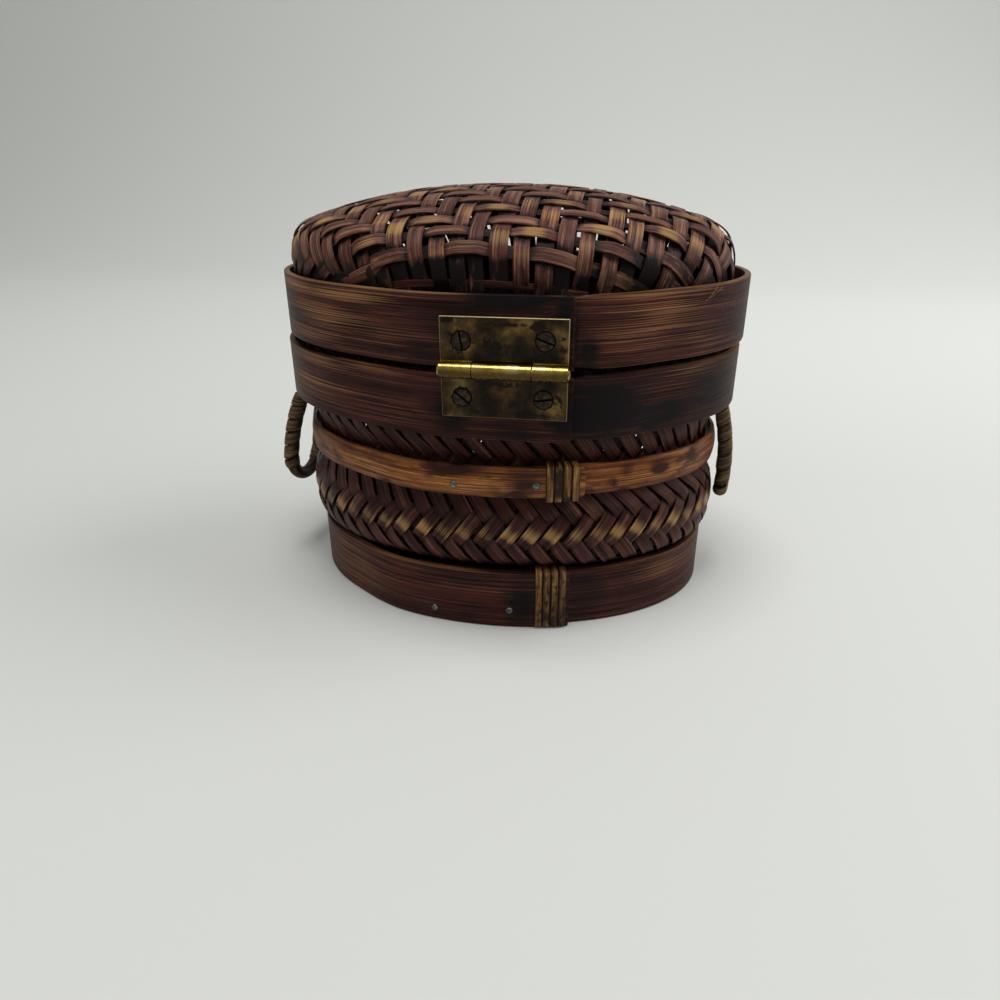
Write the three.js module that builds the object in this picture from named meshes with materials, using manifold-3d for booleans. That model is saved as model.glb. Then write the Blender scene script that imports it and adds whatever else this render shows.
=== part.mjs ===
// Oval trinket box of stained split bamboo: a bias-woven basket held by three bent hoops, with a woven
// domed lid on a brass butt hinge and a cane-wrapped loop handle at each end.
// Units are millimetres and +Z is up. The hinge is on the -Y side and the handles are at the X ends.
// The origin is on the floor, under the middle of the whole box's outline.
import * as THREE from 'three';
import { mergeVertices } from 'three/addons/utils/BufferGeometryUtils.js';
import Module from 'manifold-3d';

// Plan: each oval's half depth is its half width less this
const OVAL_DIFFERENCE = 21.7;
const STRIP = 2; // thickness of a bent bamboo strip
const SEAT_GAP = 0.3; // left between pieces that touch
const WALL = 1.8; // thickness of the weave, over and under strips together

// Hoops: half width over the outer face, lower and upper edge, and the X of the strip's two lapped ends.
// The outer end lies over the inner one. A seated hoop runs straight under the hinge.
const LID_HOOP = { halfWidth: 79, bottom: 90.5, top: 110.9, outerEnd: 27.7, innerEnd: -6, seated: true };
const RIM_HOOP = { halfWidth: 79, bottom: 69.2, top: 88.4, outerEnd: 28.2, innerEnd: -6, seated: true };
const WAIST_HOOP = { halfWidth: 74.8, bottom: 48.3, top: 58.5, outerEnd: 31, innerEnd: -15, seated: false };
const BASE_HOOP = { halfWidth: 72.9, bottom: 0, top: 20.6, outerEnd: 28.4, innerEnd: -24, seated: false };
const HOOP_CHAMFER = 0.4;
const WAIST_CROWN = 0.9; // how far the half-round waist strip falls away at its edges
const LAP_RAMP = 26; // degrees over which a strip climbs onto its other end
const SEAT_FADE = [15, 55]; // X over which a seated hoop goes back to its oval, right of the hinge
const HOOP_STEP = 6.5; // degrees between stations along a hoop
const STATION_REACH = 0.01; // radians either side of a station, over which its direction is taken

// Liners clamp the weave's edges inside the lid and rim hoops, and the lid rests on them
const LINER = { halfWidth: 74.4, thickness: 2 };
const RIM_LINER = { bottom: 83, top: 89.3 };
const LID_LINER = { bottom: 89.6, top: 99 };

// Basket wall from the floor's edge to the rim: half width and height of the weave's outer face
const BASKET_PROFILE = [
  [62, 2], [67.4, 2.4], [69.6, 6], [69.6, 21.6], [73.7, 25.6], [75.4, 33], [74.7, 41],
  [71.6, 47.1], [71.5, 59.7], [73.3, 67], [73.7, 77], [76.5, 82], [76.6, 87.8],
];
const BASKET_STEPS = 17;
const PROFILE_STEPS = 400;
const TWILL_REPEAT = 4; // crossings after which the weave, over two and under two, begins again

// The wall's bias weave: splints each way round, a crossing's height along the wall, the height that the rows
// are counted from, the heights between which the weave shows, and how deep the gaps between splints are
const WALL_WEAVE = { strands: 56, row: 4.75, datum: 40, from: 20.5, to: 66.5, sink: 1 };
const PLAIN_GAP = 1; // height kept between the weave that shows and the plain rings beyond it

// Lid dome: edge inside the hoop, shoulder arc and low crown
const DOME = { edge: 91.2, hoopTop: 108.6, edgeHalf: 76.6, sideHalf: 74.5, sideTop: 113.2 };
const SHOULDER = { radius: 15, turn: 73.5, steps: 6 };
const EASE = { hoop: 0.4, side: 0.5, below: 2.2 }; // how the side eases in as it leaves the hoop
const CROWN = { rise: 8.6, power: 2.2, steps: 6, smallest: 6 };
const DOME_LEAN = -1.5; // the dome leans a little towards the left handle
const OVAL_SIDES = 38;
const FOOT_ROUNDS = 12; // rounds of the search for the point of an oval nearest to a place

// The lid's square weave, laid flat and then bent down over the crown: the splints' pitches, the place of one
// of each, how deep the gaps between them are, and the height where the weave leaves the hoop
const LID_WEAVE = { pitchX: 6.23, firstX: 6.4, pitchY: 6.3, firstY: -51.3, sink: 1, from: 112.6 };

// Hinge: a brass butt hinge with rolled knuckles, its leaves flat on the two seated hoops
const HINGE = { x: 8.2, axisZ: 90.3, leafWidth: 36.3, leafThickness: 1.2 };
const KNUCKLE = { radius: 2.3, pin: 0.95, bore: 1.2 };
const UPPER_LEAF_TOP = 105.2;
const LOWER_LEAF_BOTTOM = 76.4;
const KNUCKLE_JOINTS = [-0.5, 16.4]; // X where the three knuckles meet
const KNUCKLE_GAP = 0.3;
const PIN_END = { overhang: 0.85, rivet: 1.66, face: 1.32, edge: 0.1 }; // the pin's riveted ends
const HINGE_SEGMENTS = 20;
const SCREW_SEGMENTS = 16;
const NAIL_SEGMENTS = 12;

// Screws: slotted oval heads, countersunk in the leaves. X, Z and the slot's turn in degrees
const SCREW = { head: 2.7, dome: 0.45, shank: 1.3, length: 4, point: 1 };
const SLOT = { width: 0.8, depth: 0.5 };
const SCREWS = [
  { name: 'hinge_screw_1', x: -3.8, z: 98.5, slot: 100, onLid: true },
  { name: 'hinge_screw_2', x: 19.8, z: 99, slot: 160, onLid: true },
  { name: 'hinge_screw_3', x: -3.9, z: 82.3, slot: 142, onLid: false },
  { name: 'hinge_screw_4', x: 19.6, z: 82.5, slot: 8, onLid: false },
];

// Nails through the laps of the lower hoops
const NAIL = { head: 1.15, dome: 0.55, shank: 0.55, length: 3.6 };
const BASE_NAILS = [{ x: -17.3, z: 4.3 }, { x: 8.5, z: 6.4 }];
const WAIST_NAILS = [{ x: -8.7, z: 52.2 }, { x: 17, z: 52.9 }];

// Cane wound round the laps
const CANE = { thickness: 0.7, width: 2.05, pitch: 2.55, clearance: 0.2, bend: 0.45, offFloor: 0.15 };
const BINDING_TURNS = 4;
const BASE_BINDING_X = 16.9; // X where the winding starts
const WAIST_BINDING_X = 19.9;
const NOTCH = { depth: 1, margin: 1, inner: -30, outer: -70 }; // keeps the base binding off the floor

// Handles: U-shaped rods whose flat ends are clamped behind the rim hoop
const HANDLE = { rod: 1.6, tongue: 1, exitZ: 68.5, spread: 0.8, sides: 8 };
const LEG_HEIGHTS = [76.2, 73, 69.2, 66, 61, 56, 51, 46.5]; // points on a leg's middle line
const PARING = { below: 2.5, above: 0.5 }; // where a rod thins into its flat end, about its exit
const LEFT_HANDLE = { side: -1, exitX: 73.7, legs: 11.4, bottom: 29.2, reach: 84, twist: 0, wraps: 5 };
const RIGHT_HANDLE = { side: 1, exitX: 74.4, legs: 8, bottom: 33.2, reach: 79.4, twist: 1, wraps: 5 };
const WRAP = { thickness: 0.7, pitch: 5.75, seam: 0.58, clearance: 0.2, start: 67.6 };
const WRAP_STEPS = 12; // steps in a turn
const BEND_POINTS = 10;
const CORE_STEPS = 44;
const FINE_STEPS = 400;

const COLOURS = {
  hoop: 0x4a2417, waist: 0x8a4f2c, weave: 0x3d2218, cane: 0x9a7442, handle: 0x6b5232, rod: 0x2c211a,
  brass: 0x8f7434, steel: 0x4a443c,
};

const wasm = await Module();
wasm.setup();

const radians = THREE.MathUtils.degToRad;
const smoothstep = THREE.MathUtils.smoothstep;

// A loft joins loops of equal count in a row. Its ends are closed round their middles, or join up in a ring.
function loft(loops, ring = false) {
  const count = loops[0].length;
  const index = [];
  const rows = ring ? loops.length : loops.length - 1;
  for (let row = 0; row < rows; row++) {
    const next = ((row + 1) % loops.length) * count;
    for (let j = 0; j < count; j++) {
      const k = (j + 1) % count;
      const here = row * count;
      index.push(here + j, here + k, next + k, here + j, next + k, next + j);
    }
  }
  const points = loops.flat();
  if (!ring) {
    const last = (loops.length - 1) * count;
    const first = points.length;
    points.push(middleOf(loops[0]), middleOf(loops.at(-1)));
    for (let j = 0; j < count; j++) {
      const k = (j + 1) % count;
      index.push(first, k, j, first + 1, last + j, last + k);
    }
  }
  return outward(points.flatMap((point) => [point.x, point.y, point.z]), index);
}

function middleOf(loop) {
  return loop.reduce((sum, point) => sum.add(point), new THREE.Vector3()).divideScalar(loop.length);
}

// Geometry from points and triangles, turned so that its faces point out
function outward(positions, index) {
  const corner = (i) => new THREE.Vector3().fromArray(positions, 3 * index[i]);
  let volume = 0;
  for (let i = 0; i < index.length; i += 3) {
    volume += corner(i).dot(corner(i + 1).cross(corner(i + 2)));
  }
  const faces = volume < 0 ? index.toReversed() : index;
  const geometry = new THREE.BufferGeometry();
  geometry.setAttribute('position', new THREE.Float32BufferAttribute(positions, 3));
  geometry.setIndex(faces);
  geometry.computeVertexNormals();
  return geometry;
}

// A closed geometry with its shared vertices merged and its empty triangles left out
function welded(geometry) {
  const bare = new THREE.BufferGeometry();
  bare.setAttribute('position', geometry.getAttribute('position').clone());
  bare.setIndex(geometry.getIndex());
  const merged = mergeVertices(bare, 1e-4);
  const index = [];
  const all = merged.getIndex().array;
  for (let i = 0; i < all.length; i += 3) {
    const [a, b, c] = [all[i], all[i + 1], all[i + 2]];
    if (a !== b && b !== c && c !== a) index.push(a, b, c);
  }
  return outward([...merged.getAttribute('position').array], index);
}

function toSolid(geometry) {
  const closed = welded(geometry);
  const mesh = new wasm.Mesh({
    numProp: 3,
    vertProperties: new Float32Array(closed.getAttribute('position').array),
    triVerts: new Uint32Array(closed.getIndex().array),
  });
  return new wasm.Manifold(mesh);
}

function fromSolid(solid) {
  const mesh = solid.getMesh();
  const geometry = new THREE.BufferGeometry();
  geometry.setAttribute('position', new THREE.BufferAttribute(new Float32Array(mesh.vertProperties), 3));
  geometry.setIndex(new THREE.BufferAttribute(new Uint32Array(mesh.triVerts), 1));
  geometry.computeVertexNormals();
  return geometry;
}

function cut(geometry, tools) {
  return fromSolid(tools.reduce((solid, tool) => solid.subtract(toSolid(tool)), toSolid(geometry)));
}

function join(geometries) {
  return fromSolid(geometries.map(toSolid).reduce((solid, other) => solid.add(other)));
}

function box(low, high) {
  const size = high.map((value, i) => value - low[i]);
  const middle = high.map((value, i) => (value + low[i]) / 2);
  return new THREE.BoxGeometry(...size).translate(...middle);
}

// A rod along X, from its lower to its upper X
function rodX(radius, from, to, y, z) {
  const rod = new THREE.CylinderGeometry(radius, radius, to - from, HINGE_SEGMENTS);
  return rod.rotateZ(Math.PI / 2).translate((from + to) / 2, y, z);
}

function piece(name, geometry, colour, roughness, metalness) {
  const material = new THREE.MeshStandardMaterial({ color: colour, roughness, metalness });
  const mesh = new THREE.Mesh(geometry, material);
  mesh.name = name;
  return mesh;
}

const bamboo = (name, geometry, colour = COLOURS.hoop) => piece(name, geometry, colour, 0.5, 0);
const woven = (name, geometry) => piece(name, geometry, COLOURS.weave, 0.6, 0);
const cane = (name, geometry, colour) => piece(name, geometry, colour, 0.6, 0);
const brass = (name, geometry) => piece(name, geometry, COLOURS.brass, 0.4, 1);
const steel = (name, geometry) => piece(name, geometry, COLOURS.steel, 0.5, 1);

// The outline of a hoop: stations along the strip's middle from its outer end to its inner end,
// each with its point and the way out of the box
function stripStations(hoop) {
  const halfWidth = hoop.halfWidth - STRIP / 2;
  const halfDepth = halfWidth - OVAL_DIFFERENCE;
  const lap = STRIP + SEAT_GAP;
  const outerAngle = -Math.acos(hoop.outerEnd / halfWidth);
  const innerAngle = -Math.acos(hoop.innerEnd / halfWidth);
  const turn = outerAngle - innerAngle + 2 * Math.PI;
  const steps = Math.ceil(turn / radians(HOOP_STEP));
  const middle = (angle) => {
    const point = new THREE.Vector2(halfWidth * Math.cos(angle), halfDepth * Math.sin(angle));
    const out = new THREE.Vector2(Math.cos(angle) / halfWidth, Math.sin(angle) / halfDepth).normalize();
    const climb = smoothstep(angle, innerAngle - radians(LAP_RAMP), innerAngle - radians(2));
    point.addScaledVector(out, lap * climb);
    const underHinge = hoop.seated && angle < -1.5 * Math.PI && point.x > hoop.innerEnd;
    if (underHinge && point.y < 0) {
      const straight = 1 - smoothstep(point.x, ...SEAT_FADE);
      point.y += (-halfDepth - point.y) * straight;
    }
    if (hoop.seated && angle > innerAngle) point.y = -(halfDepth + lap);
    return point;
  };
  const angles = Array.from({ length: steps + 1 }, (_, i) => outerAngle - (turn * i) / steps);
  return angles.map((angle) => {
    const after = middle(Math.min(angle + STATION_REACH, outerAngle));
    const along = after.sub(middle(angle - STATION_REACH)).normalize();
    return { point: middle(angle), out: new THREE.Vector2(along.y, -along.x) };
  });
}

// A bent strip: the section's points are distances out from the strip's middle, and heights
function bentStrip(hoop, section) {
  const loops = stripStations(hoop).map(({ point, out }) =>
    section.map(([away, z]) => new THREE.Vector3(point.x + out.x * away, point.y + out.y * away, z)));
  return loft(loops);
}

function flatSection({ bottom, top }) {
  const face = STRIP / 2;
  const c = HOOP_CHAMFER;
  const lower = [[-face, bottom], [face - c, bottom], [face, bottom + c]];
  const upper = [[face, top - c], [face - c, top], [-face, top]];
  return [...lower, ...upper];
}

function halfRoundSection({ bottom, top }) {
  const face = STRIP / 2;
  const height = top - bottom;
  const outer = [0, 0.12, 0.32, 0.68, 0.88, 1].map((share) => {
    const fall = WAIST_CROWN * (2 * share - 1) ** 2;
    return [face - fall, bottom + share * height];
  });
  return [[-face, bottom], ...outer, [-face, top]];
}

// Where a nail or a winding stands on a hoop's lapped outer end
function onLap(hoop, x) {
  const stations = stripStations(hoop);
  const next = stations.findIndex(({ point }) => point.x < x);
  const [a, b] = [stations[next - 1], stations[next]];
  const share = (a.point.x - x) / (a.point.x - b.point.x);
  return { point: a.point.clone().lerp(b.point, share), out: a.out.clone().lerp(b.out, share).normalize() };
}

// Turns a geometry made along +Y so that +Y points out of the hoop at a place on its lap
function standOut(geometry, { point, out }, z) {
  const angle = Math.atan2(out.y, out.x) - Math.PI / 2;
  return geometry.rotateZ(angle).translate(point.x + (out.x * STRIP) / 2, point.y + (out.y * STRIP) / 2, z);
}

function nail() {
  const { head, dome, shank, length } = NAIL;
  const lift = SEAT_GAP / 3;
  const stem = [[0, -length], [shank, -length], [shank, lift]];
  const cap = [[head, lift], [head * 0.8, lift + dome * 0.6], [0, lift + dome]];
  return turned([...stem, ...cap], NAIL_SEGMENTS);
}

function nailHole() {
  const length = 2 * (NAIL.length + STRIP);
  return new THREE.CylinderGeometry(NAIL.shank + SEAT_GAP, NAIL.shank + SEAT_GAP, length, NAIL_SEGMENTS);
}

function nails(hoop, places, name) {
  return places.map(({ x, z }, i) => steel(`${name}_${i + 1}`, standOut(nail(), onLap(hoop, x), z)));
}

const nailHoles = (hoop, places) => places.map(({ x, z }) => standOut(nailHole(), onLap(hoop, x), z));

// A winding: flat cane that goes round both layers of a lap, stepping along the hoop as it goes
function binding(hoop, startX, lowerFace) {
  const { thickness, width, pitch, clearance, bend } = CANE;
  const away = clearance + thickness / 2;
  const outside = STRIP / 2 + away;
  const inside = -STRIP / 2 - (STRIP + SEAT_GAP) - away;
  const low = lowerFace + thickness / 2;
  const high = hoop.top + away;
  const middle = new THREE.Vector2((inside + outside) / 2, (low + high) / 2);
  // The way round: up the outside, over the top, down the inside, under the bottom
  const way = [
    [outside, low + bend], [outside, (low + high) / 2], [outside, high - bend],
    [outside - bend, high], [inside + bend, high],
    [inside, high - bend], [inside, low + bend],
    [inside + bend, low], [outside - bend, low],
  ].map(([n, z]) => new THREE.Vector2(n, z));
  const facing = way.map((point, i) => {
    const before = way[(i + way.length - 1) % way.length];
    const after = way[(i + 1) % way.length];
    const along = after.clone().sub(before);
    const normal = new THREE.Vector2(along.y, -along.x).normalize();
    return normal.dot(point.clone().sub(middle)) < 0 ? normal.negate() : normal;
  });
  const count = BINDING_TURNS * way.length + 1;
  const edges = [];
  const loops = Array.from({ length: count }, (_, i) => {
    const here = i % way.length;
    const x = startX + width / 2 + (pitch * i) / way.length;
    const { point, out } = onLap(hoop, x);
    const along = new THREE.Vector2(-out.y, out.x);
    const place = (n, z, side) => new THREE.Vector3(
      point.x + out.x * n + along.x * side, point.y + out.y * n + along.y * side, z);
    const [w, f] = [way[here], facing[here]];
    edges.push([place(w.x, w.y, -width / 2), place(w.x, w.y, width / 2)]);
    const edge = (face, side) => {
      const { x: n, y: z } = w.clone().addScaledVector(f, (face * thickness) / 2);
      return place(n, z, (side * width) / 2);
    };
    return [edge(-1, -1), edge(-1, 1), edge(1, 1), edge(1, -1)];
  });
  reportGap(edges, way.length);
  return loft(loops);
}

// Prints the least space between one turn's far edge and the next turn's near edge
function reportGap(edges, stepsInTurn) {
  const spaces = edges.slice(stepsInTurn).map(([near], i) => near.distanceTo(edges[i][1]));
  console.log(`least gap between turns ${Math.min(...spaces).toFixed(2)} mm`);
}

// The handle's middle line: flat ends behind the rim hoop, straight legs, and a half-round bend below
function handleCurve({ side, exitX, legs, bottom, reach, twist }) {
  const { exitZ, spread } = HANDLE;
  const bendZ = bottom + legs;
  const x = (y, z) => {
    const down = THREE.MathUtils.clamp((exitZ - z) / (exitZ - bottom), 0, 1);
    const out = Math.sin((down ** spread * Math.PI) / 2);
    return side * (exitX + (reach - exitX + (twist * y) / legs) * out);
  };
  const leg = LEG_HEIGHTS.filter((z) => z > bendZ + 1);
  const bend = Array.from({ length: BEND_POINTS + 1 }, (_, i) => (Math.PI * i) / BEND_POINTS);
  const at = (y, z) => new THREE.Vector3(x(y, z), y, z);
  return new THREE.CatmullRomCurve3([
    ...leg.map((z) => at(-legs, z)),
    ...bend.map((turn) => at(-legs * Math.cos(turn), bendZ - legs * Math.sin(turn))),
    ...leg.toReversed().map((z) => at(legs, z)),
  ]);
}

// Directions across the line of a handle: one that stays level or nearly so, and one square to it
function across(line, i) {
  const along = line[Math.min(i + 1, line.length - 1)].clone().sub(line[Math.max(i - 1, 0)]).normalize();
  const flat = new THREE.Vector3(1, 0, 0).addScaledVector(along, -along.x).normalize();
  return { along, flat, wide: along.clone().cross(flat) };
}

function handleCore(handle) {
  const line = handleCurve(handle).getSpacedPoints(CORE_STEPS);
  const { rod, tongue, exitZ, sides } = HANDLE;
  return loft(line.map((point, i) => {
    const { flat, wide } = across(line, i);
    const pared = smoothstep(point.z, exitZ - PARING.below, exitZ + PARING.above);
    const thick = THREE.MathUtils.lerp(rod, tongue, pared);
    return Array.from({ length: sides }, (_, k) => {
      const turn = (2 * Math.PI * (k + 0.5)) / sides;
      const edge = point.clone().addScaledVector(flat, thick * Math.cos(turn));
      return edge.addScaledVector(wide, rod * Math.sin(turn));
    });
  }));
}

// Flat cane wound along one leg of a handle, from under the rim hoop down towards the bare bend
function handleWrap(handle, legSign) {
  const fine = handleCurve(handle).getSpacedPoints(FINE_STEPS);
  const legPoints = fine.filter((point) => point.y * legSign > 0);
  const down = legSign < 0 ? legPoints : legPoints.toReversed();
  const step = down[0].distanceTo(down[1]);
  const start = down.findIndex((point) => point.z < WRAP.start);
  const width = WRAP.pitch - WRAP.seam;
  const radius = HANDLE.rod + WRAP.clearance + WRAP.thickness / 2;
  const edges = [];
  const loops = Array.from({ length: handle.wraps * WRAP_STEPS + 1 }, (_, i) => {
    const turn = (2 * Math.PI * i) / WRAP_STEPS;
    const place = (distance, away) => {
      const at = THREE.MathUtils.clamp(start + distance / step, 1, down.length - 2);
      const low = Math.floor(at);
      const point = down[low].clone().lerp(down[low + 1], at - low);
      const { flat, wide } = across(down, low);
      return point.addScaledVector(flat, away * Math.cos(turn)).addScaledVector(wide, away * Math.sin(turn));
    };
    const distance = width / 2 + (WRAP.pitch * i) / WRAP_STEPS;
    edges.push([place(distance - width / 2, radius), place(distance + width / 2, radius)]);
    const edge = (side, out) => place(distance + (side * width) / 2, radius + (out * WRAP.thickness) / 2);
    return [edge(-1, -1), edge(0, -1), edge(1, -1), edge(1, 1), edge(0, 1), edge(-1, 1)];
  });
  reportGap(edges, WRAP_STEPS);
  return loft(loops);
}

// An oval ring of points. Inside the crown the half depth shrinks in proportion.
function ovalLoop(halfWidth, z, shiftX = 0) {
  const edge = DOME.sideHalf - SHOULDER.radius;
  const shrink = (edge - OVAL_DIFFERENCE) / edge;
  const halfDepth = halfWidth > edge ? halfWidth - OVAL_DIFFERENCE : halfWidth * shrink;
  return Array.from({ length: OVAL_SIDES }, (_, i) => {
    const angle = (2 * Math.PI * i) / OVAL_SIDES;
    return new THREE.Vector3(shiftX + halfWidth * Math.cos(angle), halfDepth * Math.sin(angle), z);
  });
}

// A closed ring of points about the middle, with the turn of each. A woven ring has a point for each crossing
// on its level, and between them the sunk gaps.
function plainRing({ x, y }, shiftX) {
  const turns = Array.from({ length: OVAL_SIDES }, (_, i) => (2 * Math.PI * i) / OVAL_SIDES);
  return { points: ovalLoop(x, y, shiftX), turns };
}

function wovenRing({ x, y }, level) {
  const depth = x - OVAL_DIFFERENCE;
  const even = new THREE.EllipseCurve(0, 0, x, depth).getSpacedPoints(2 * WALL_WEAVE.strands).slice(0, -1);
  const turns = even.map((point) => (Math.atan2(point.y / depth, point.x / x) + 2 * Math.PI) % (2 * Math.PI));
  const points = turns.map((turn, i) => {
    const sink = isCrossing(level, i) ? 0 : WALL_WEAVE.sink;
    return new THREE.Vector3((x - sink) * Math.cos(turn), (depth - sink) * Math.sin(turn), y);
  });
  return { points, turns, level };
}

const isCrossing = (level, i) => (level + i) % 2 === 0;
const twillStep = (count) => THREE.MathUtils.euclideanModulo(count, TWILL_REPEAT);

// The skin between rings that follow each other. Woven rings are joined by quads, whose diagonals run along
// the splints that lie on top: two levels that lean one way, then two that lean the other. Other rings are
// joined turn by turn.
function ringSkin(rings) {
  const index = [];
  let here = 0;
  for (let row = 0; row + 1 < rings.length; row++) {
    const [ring, next] = [rings[row], rings[row + 1]];
    const there = here + ring.points.length;
    const near = (i) => here + (i % ring.points.length);
    const far = (i) => there + (i % next.points.length);
    const woven = ring.level !== undefined && next.level !== undefined;
    const turnOf = ({ turns }, i) => (i < turns.length ? turns[i] : turns[0] + 2 * Math.PI);
    const isBehind = (i, k) => i < ring.points.length && turnOf(ring, i + 1) < turnOf(next, k + 1);
    let [i, k] = [0, 0];
    while (i < ring.points.length || k < next.points.length) {
      if (woven && !rises(ring.level, i)) {
        index.push(near(i), near(i + 1), far(i), near(i + 1), far(i + 1), far(i));
        [i, k] = [i + 1, k + 1];
      } else if (woven) {
        index.push(near(i), near(i + 1), far(i + 1), near(i), far(i + 1), far(i));
        [i, k] = [i + 1, k + 1];
      } else if (k === next.points.length || isBehind(i, k)) {
        index.push(near(i), near(i + 1), far(k));
        i += 1;
      } else {
        index.push(near(i), far(k + 1), far(k));
        k += 1;
      }
    }
    here = there;
  }
  return { points: rings.flatMap(({ points }) => points), index };
}

function rises(level, i) {
  const step = twillStep(level);
  return step === TWILL_REPEAT / 2 || (step % 2 === 1 && !isCrossing(level, i));
}

// Closes a skin round the middle of its first or last ring
function closeEnd({ points, index }, ring, isFirst) {
  const start = isFirst ? 0 : points.length - ring.points.length;
  const count = ring.points.length;
  const middle = points.length;
  ring.points.forEach((_, i) => {
    const [a, b] = [start + i, start + ((i + 1) % count)];
    index.push(middle, ...(isFirst ? [b, a] : [a, b]));
  });
  points.push(middleOf(ring.points));
}

const skinGeometry = ({ points, index }) => outward(points.flatMap(({ x, y, z }) => [x, y, z]), index);

// The same profile, moved in by the weave's thickness
function innerProfile(profile) {
  return profile.map((point, i) => {
    const before = profile[Math.max(i - 1, 0)];
    const after = profile[Math.min(i + 1, profile.length - 1)];
    const along = after.clone().sub(before).normalize();
    return new THREE.Vector2(point.x - along.y * WALL, point.y + along.x * WALL);
  });
}

function wovenBasket() {
  const corners = BASKET_PROFILE.map(([halfWidth, z]) => new THREE.Vector3(halfWidth, z, 0));
  const curve = new THREE.CatmullRomCurve3(corners, false, 'centripetal');
  const fine = curve.getSpacedPoints(PROFILE_STEPS);
  const step = curve.getLength() / PROFILE_STEPS;
  const plain = curve.getSpacedPoints(BASKET_STEPS).map(({ x, y }) => new THREE.Vector2(x, y));
  const { row, datum, from, to } = WALL_WEAVE;
  const start = fine.findIndex(({ y }) => y > datum);
  const rows = [];
  const mostLevels = Math.ceil(curve.getLength() / row);
  for (let level = -mostLevels; level <= mostLevels; level++) {
    const place = fine[Math.round(start + ((level + 0.5) * row) / step)];
    if (place && place.y > from && place.y < to) rows.push(wovenRing(place, level));
  }
  const lower = plain.filter(({ y }) => y < from - PLAIN_GAP).map((point) => plainRing(point));
  const upper = plain.filter(({ y }) => y > to + PLAIN_GAP).map((point) => plainRing(point));
  const inner = innerProfile(plain).toReversed().map((point) => plainRing(point));
  const rings = [...lower, ...rows, ...upper, ...inner];
  const skin = ringSkin(rings);
  closeEnd(skin, rings.at(-1), false);
  closeEnd(skin, rings[0], true);
  return skinGeometry(skin);
}

// The lid's profile from its edge in the hoop up over the shoulder to the crown
function domeProfile() {
  const { edge, hoopTop, edgeHalf, sideHalf, sideTop } = DOME;
  const { radius, turn } = SHOULDER;
  const inHoop = [[edgeHalf, edge], [edgeHalf, (edge + hoopTop) / 2], [edgeHalf - EASE.hoop, hoopTop]];
  const corners = [...inHoop, [sideHalf + EASE.side, sideTop - EASE.below]];
  const side = corners.map(([x, y]) => new THREE.Vector2(x, y));
  const arc = Array.from({ length: SHOULDER.steps + 1 }, (_, i) => {
    const angle = radians((turn * i) / SHOULDER.steps);
    return new THREE.Vector2(sideHalf - radius * (1 - Math.cos(angle)), sideTop + radius * Math.sin(angle));
  });
  const last = arc.at(-1);
  const crown = Array.from({ length: CROWN.steps }, (_, i) => {
    const x = THREE.MathUtils.lerp(last.x, CROWN.smallest, (i + 1) / CROWN.steps);
    return new THREE.Vector2(x, last.y + CROWN.rise * (1 - (x / last.x) ** CROWN.power));
  });
  return { inHoop: side.slice(0, inHoop.length), all: [...side, ...arc, ...crown], crownEdge: last };
}

const lean = (z) => DOME_LEAN * smoothstep(z, DOME.hoopTop, DOME.sideTop + SHOULDER.radius);

// Half width of the dome's weave when it is laid flat, down to the hoop's top
function flatHalf(crownEdge) {
  return crownEdge.x + SHOULDER.radius * radians(SHOULDER.turn) + DOME.sideTop - DOME.hoopTop;
}

// The point of the crown's edge that a place of the flat weave is nearest to, the way out there, and how far
// past the edge the place is
function pastCrown(flat, edgeHalf) {
  const [a, b] = [edgeHalf, edgeHalf - OVAL_DIFFERENCE];
  let turn = Math.atan2(flat.y / b, flat.x / a);
  for (let round = 0; round < FOOT_ROUNDS; round++) {
    const foot = new THREE.Vector2(a * Math.cos(turn), b * Math.sin(turn));
    const along = new THREE.Vector2(-a * Math.sin(turn), b * Math.cos(turn));
    const gap = flat.clone().sub(foot);
    turn += gap.dot(along) / (along.lengthSq() + gap.dot(foot));
  }
  const foot = new THREE.Vector2(a * Math.cos(turn), b * Math.sin(turn));
  const out = new THREE.Vector2(Math.cos(turn) / a, Math.sin(turn) / b).normalize();
  return { foot, out, past: flat.clone().sub(foot).dot(out) };
}

// Where a place of the flat weave lies on the dome, moved in by a depth
function onDome(flat, crownEdge, depth) {
  const { foot, out, past } = pastCrown(flat, crownEdge.x);
  const place = new THREE.Vector3();
  if (past <= 0) {
    const share = Math.hypot(flat.x / crownEdge.x, flat.y / (crownEdge.x - OVAL_DIFFERENCE));
    place.set(flat.x, flat.y, crownEdge.y + CROWN.rise * (1 - share ** CROWN.power) - depth);
  } else {
    const radius = SHOULDER.radius - depth;
    const full = radians(SHOULDER.turn);
    const left = Math.max(full - past / SHOULDER.radius, 0);
    const away = radius * Math.cos(left) - SHOULDER.radius * Math.cos(full);
    const fall = Math.max(past - SHOULDER.radius * full, 0);
    place.set(foot.x + out.x * away, foot.y + out.y * away, DOME.sideTop + radius * Math.sin(left) - fall);
  }
  place.x += lean(place.z);
  return place;
}

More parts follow.
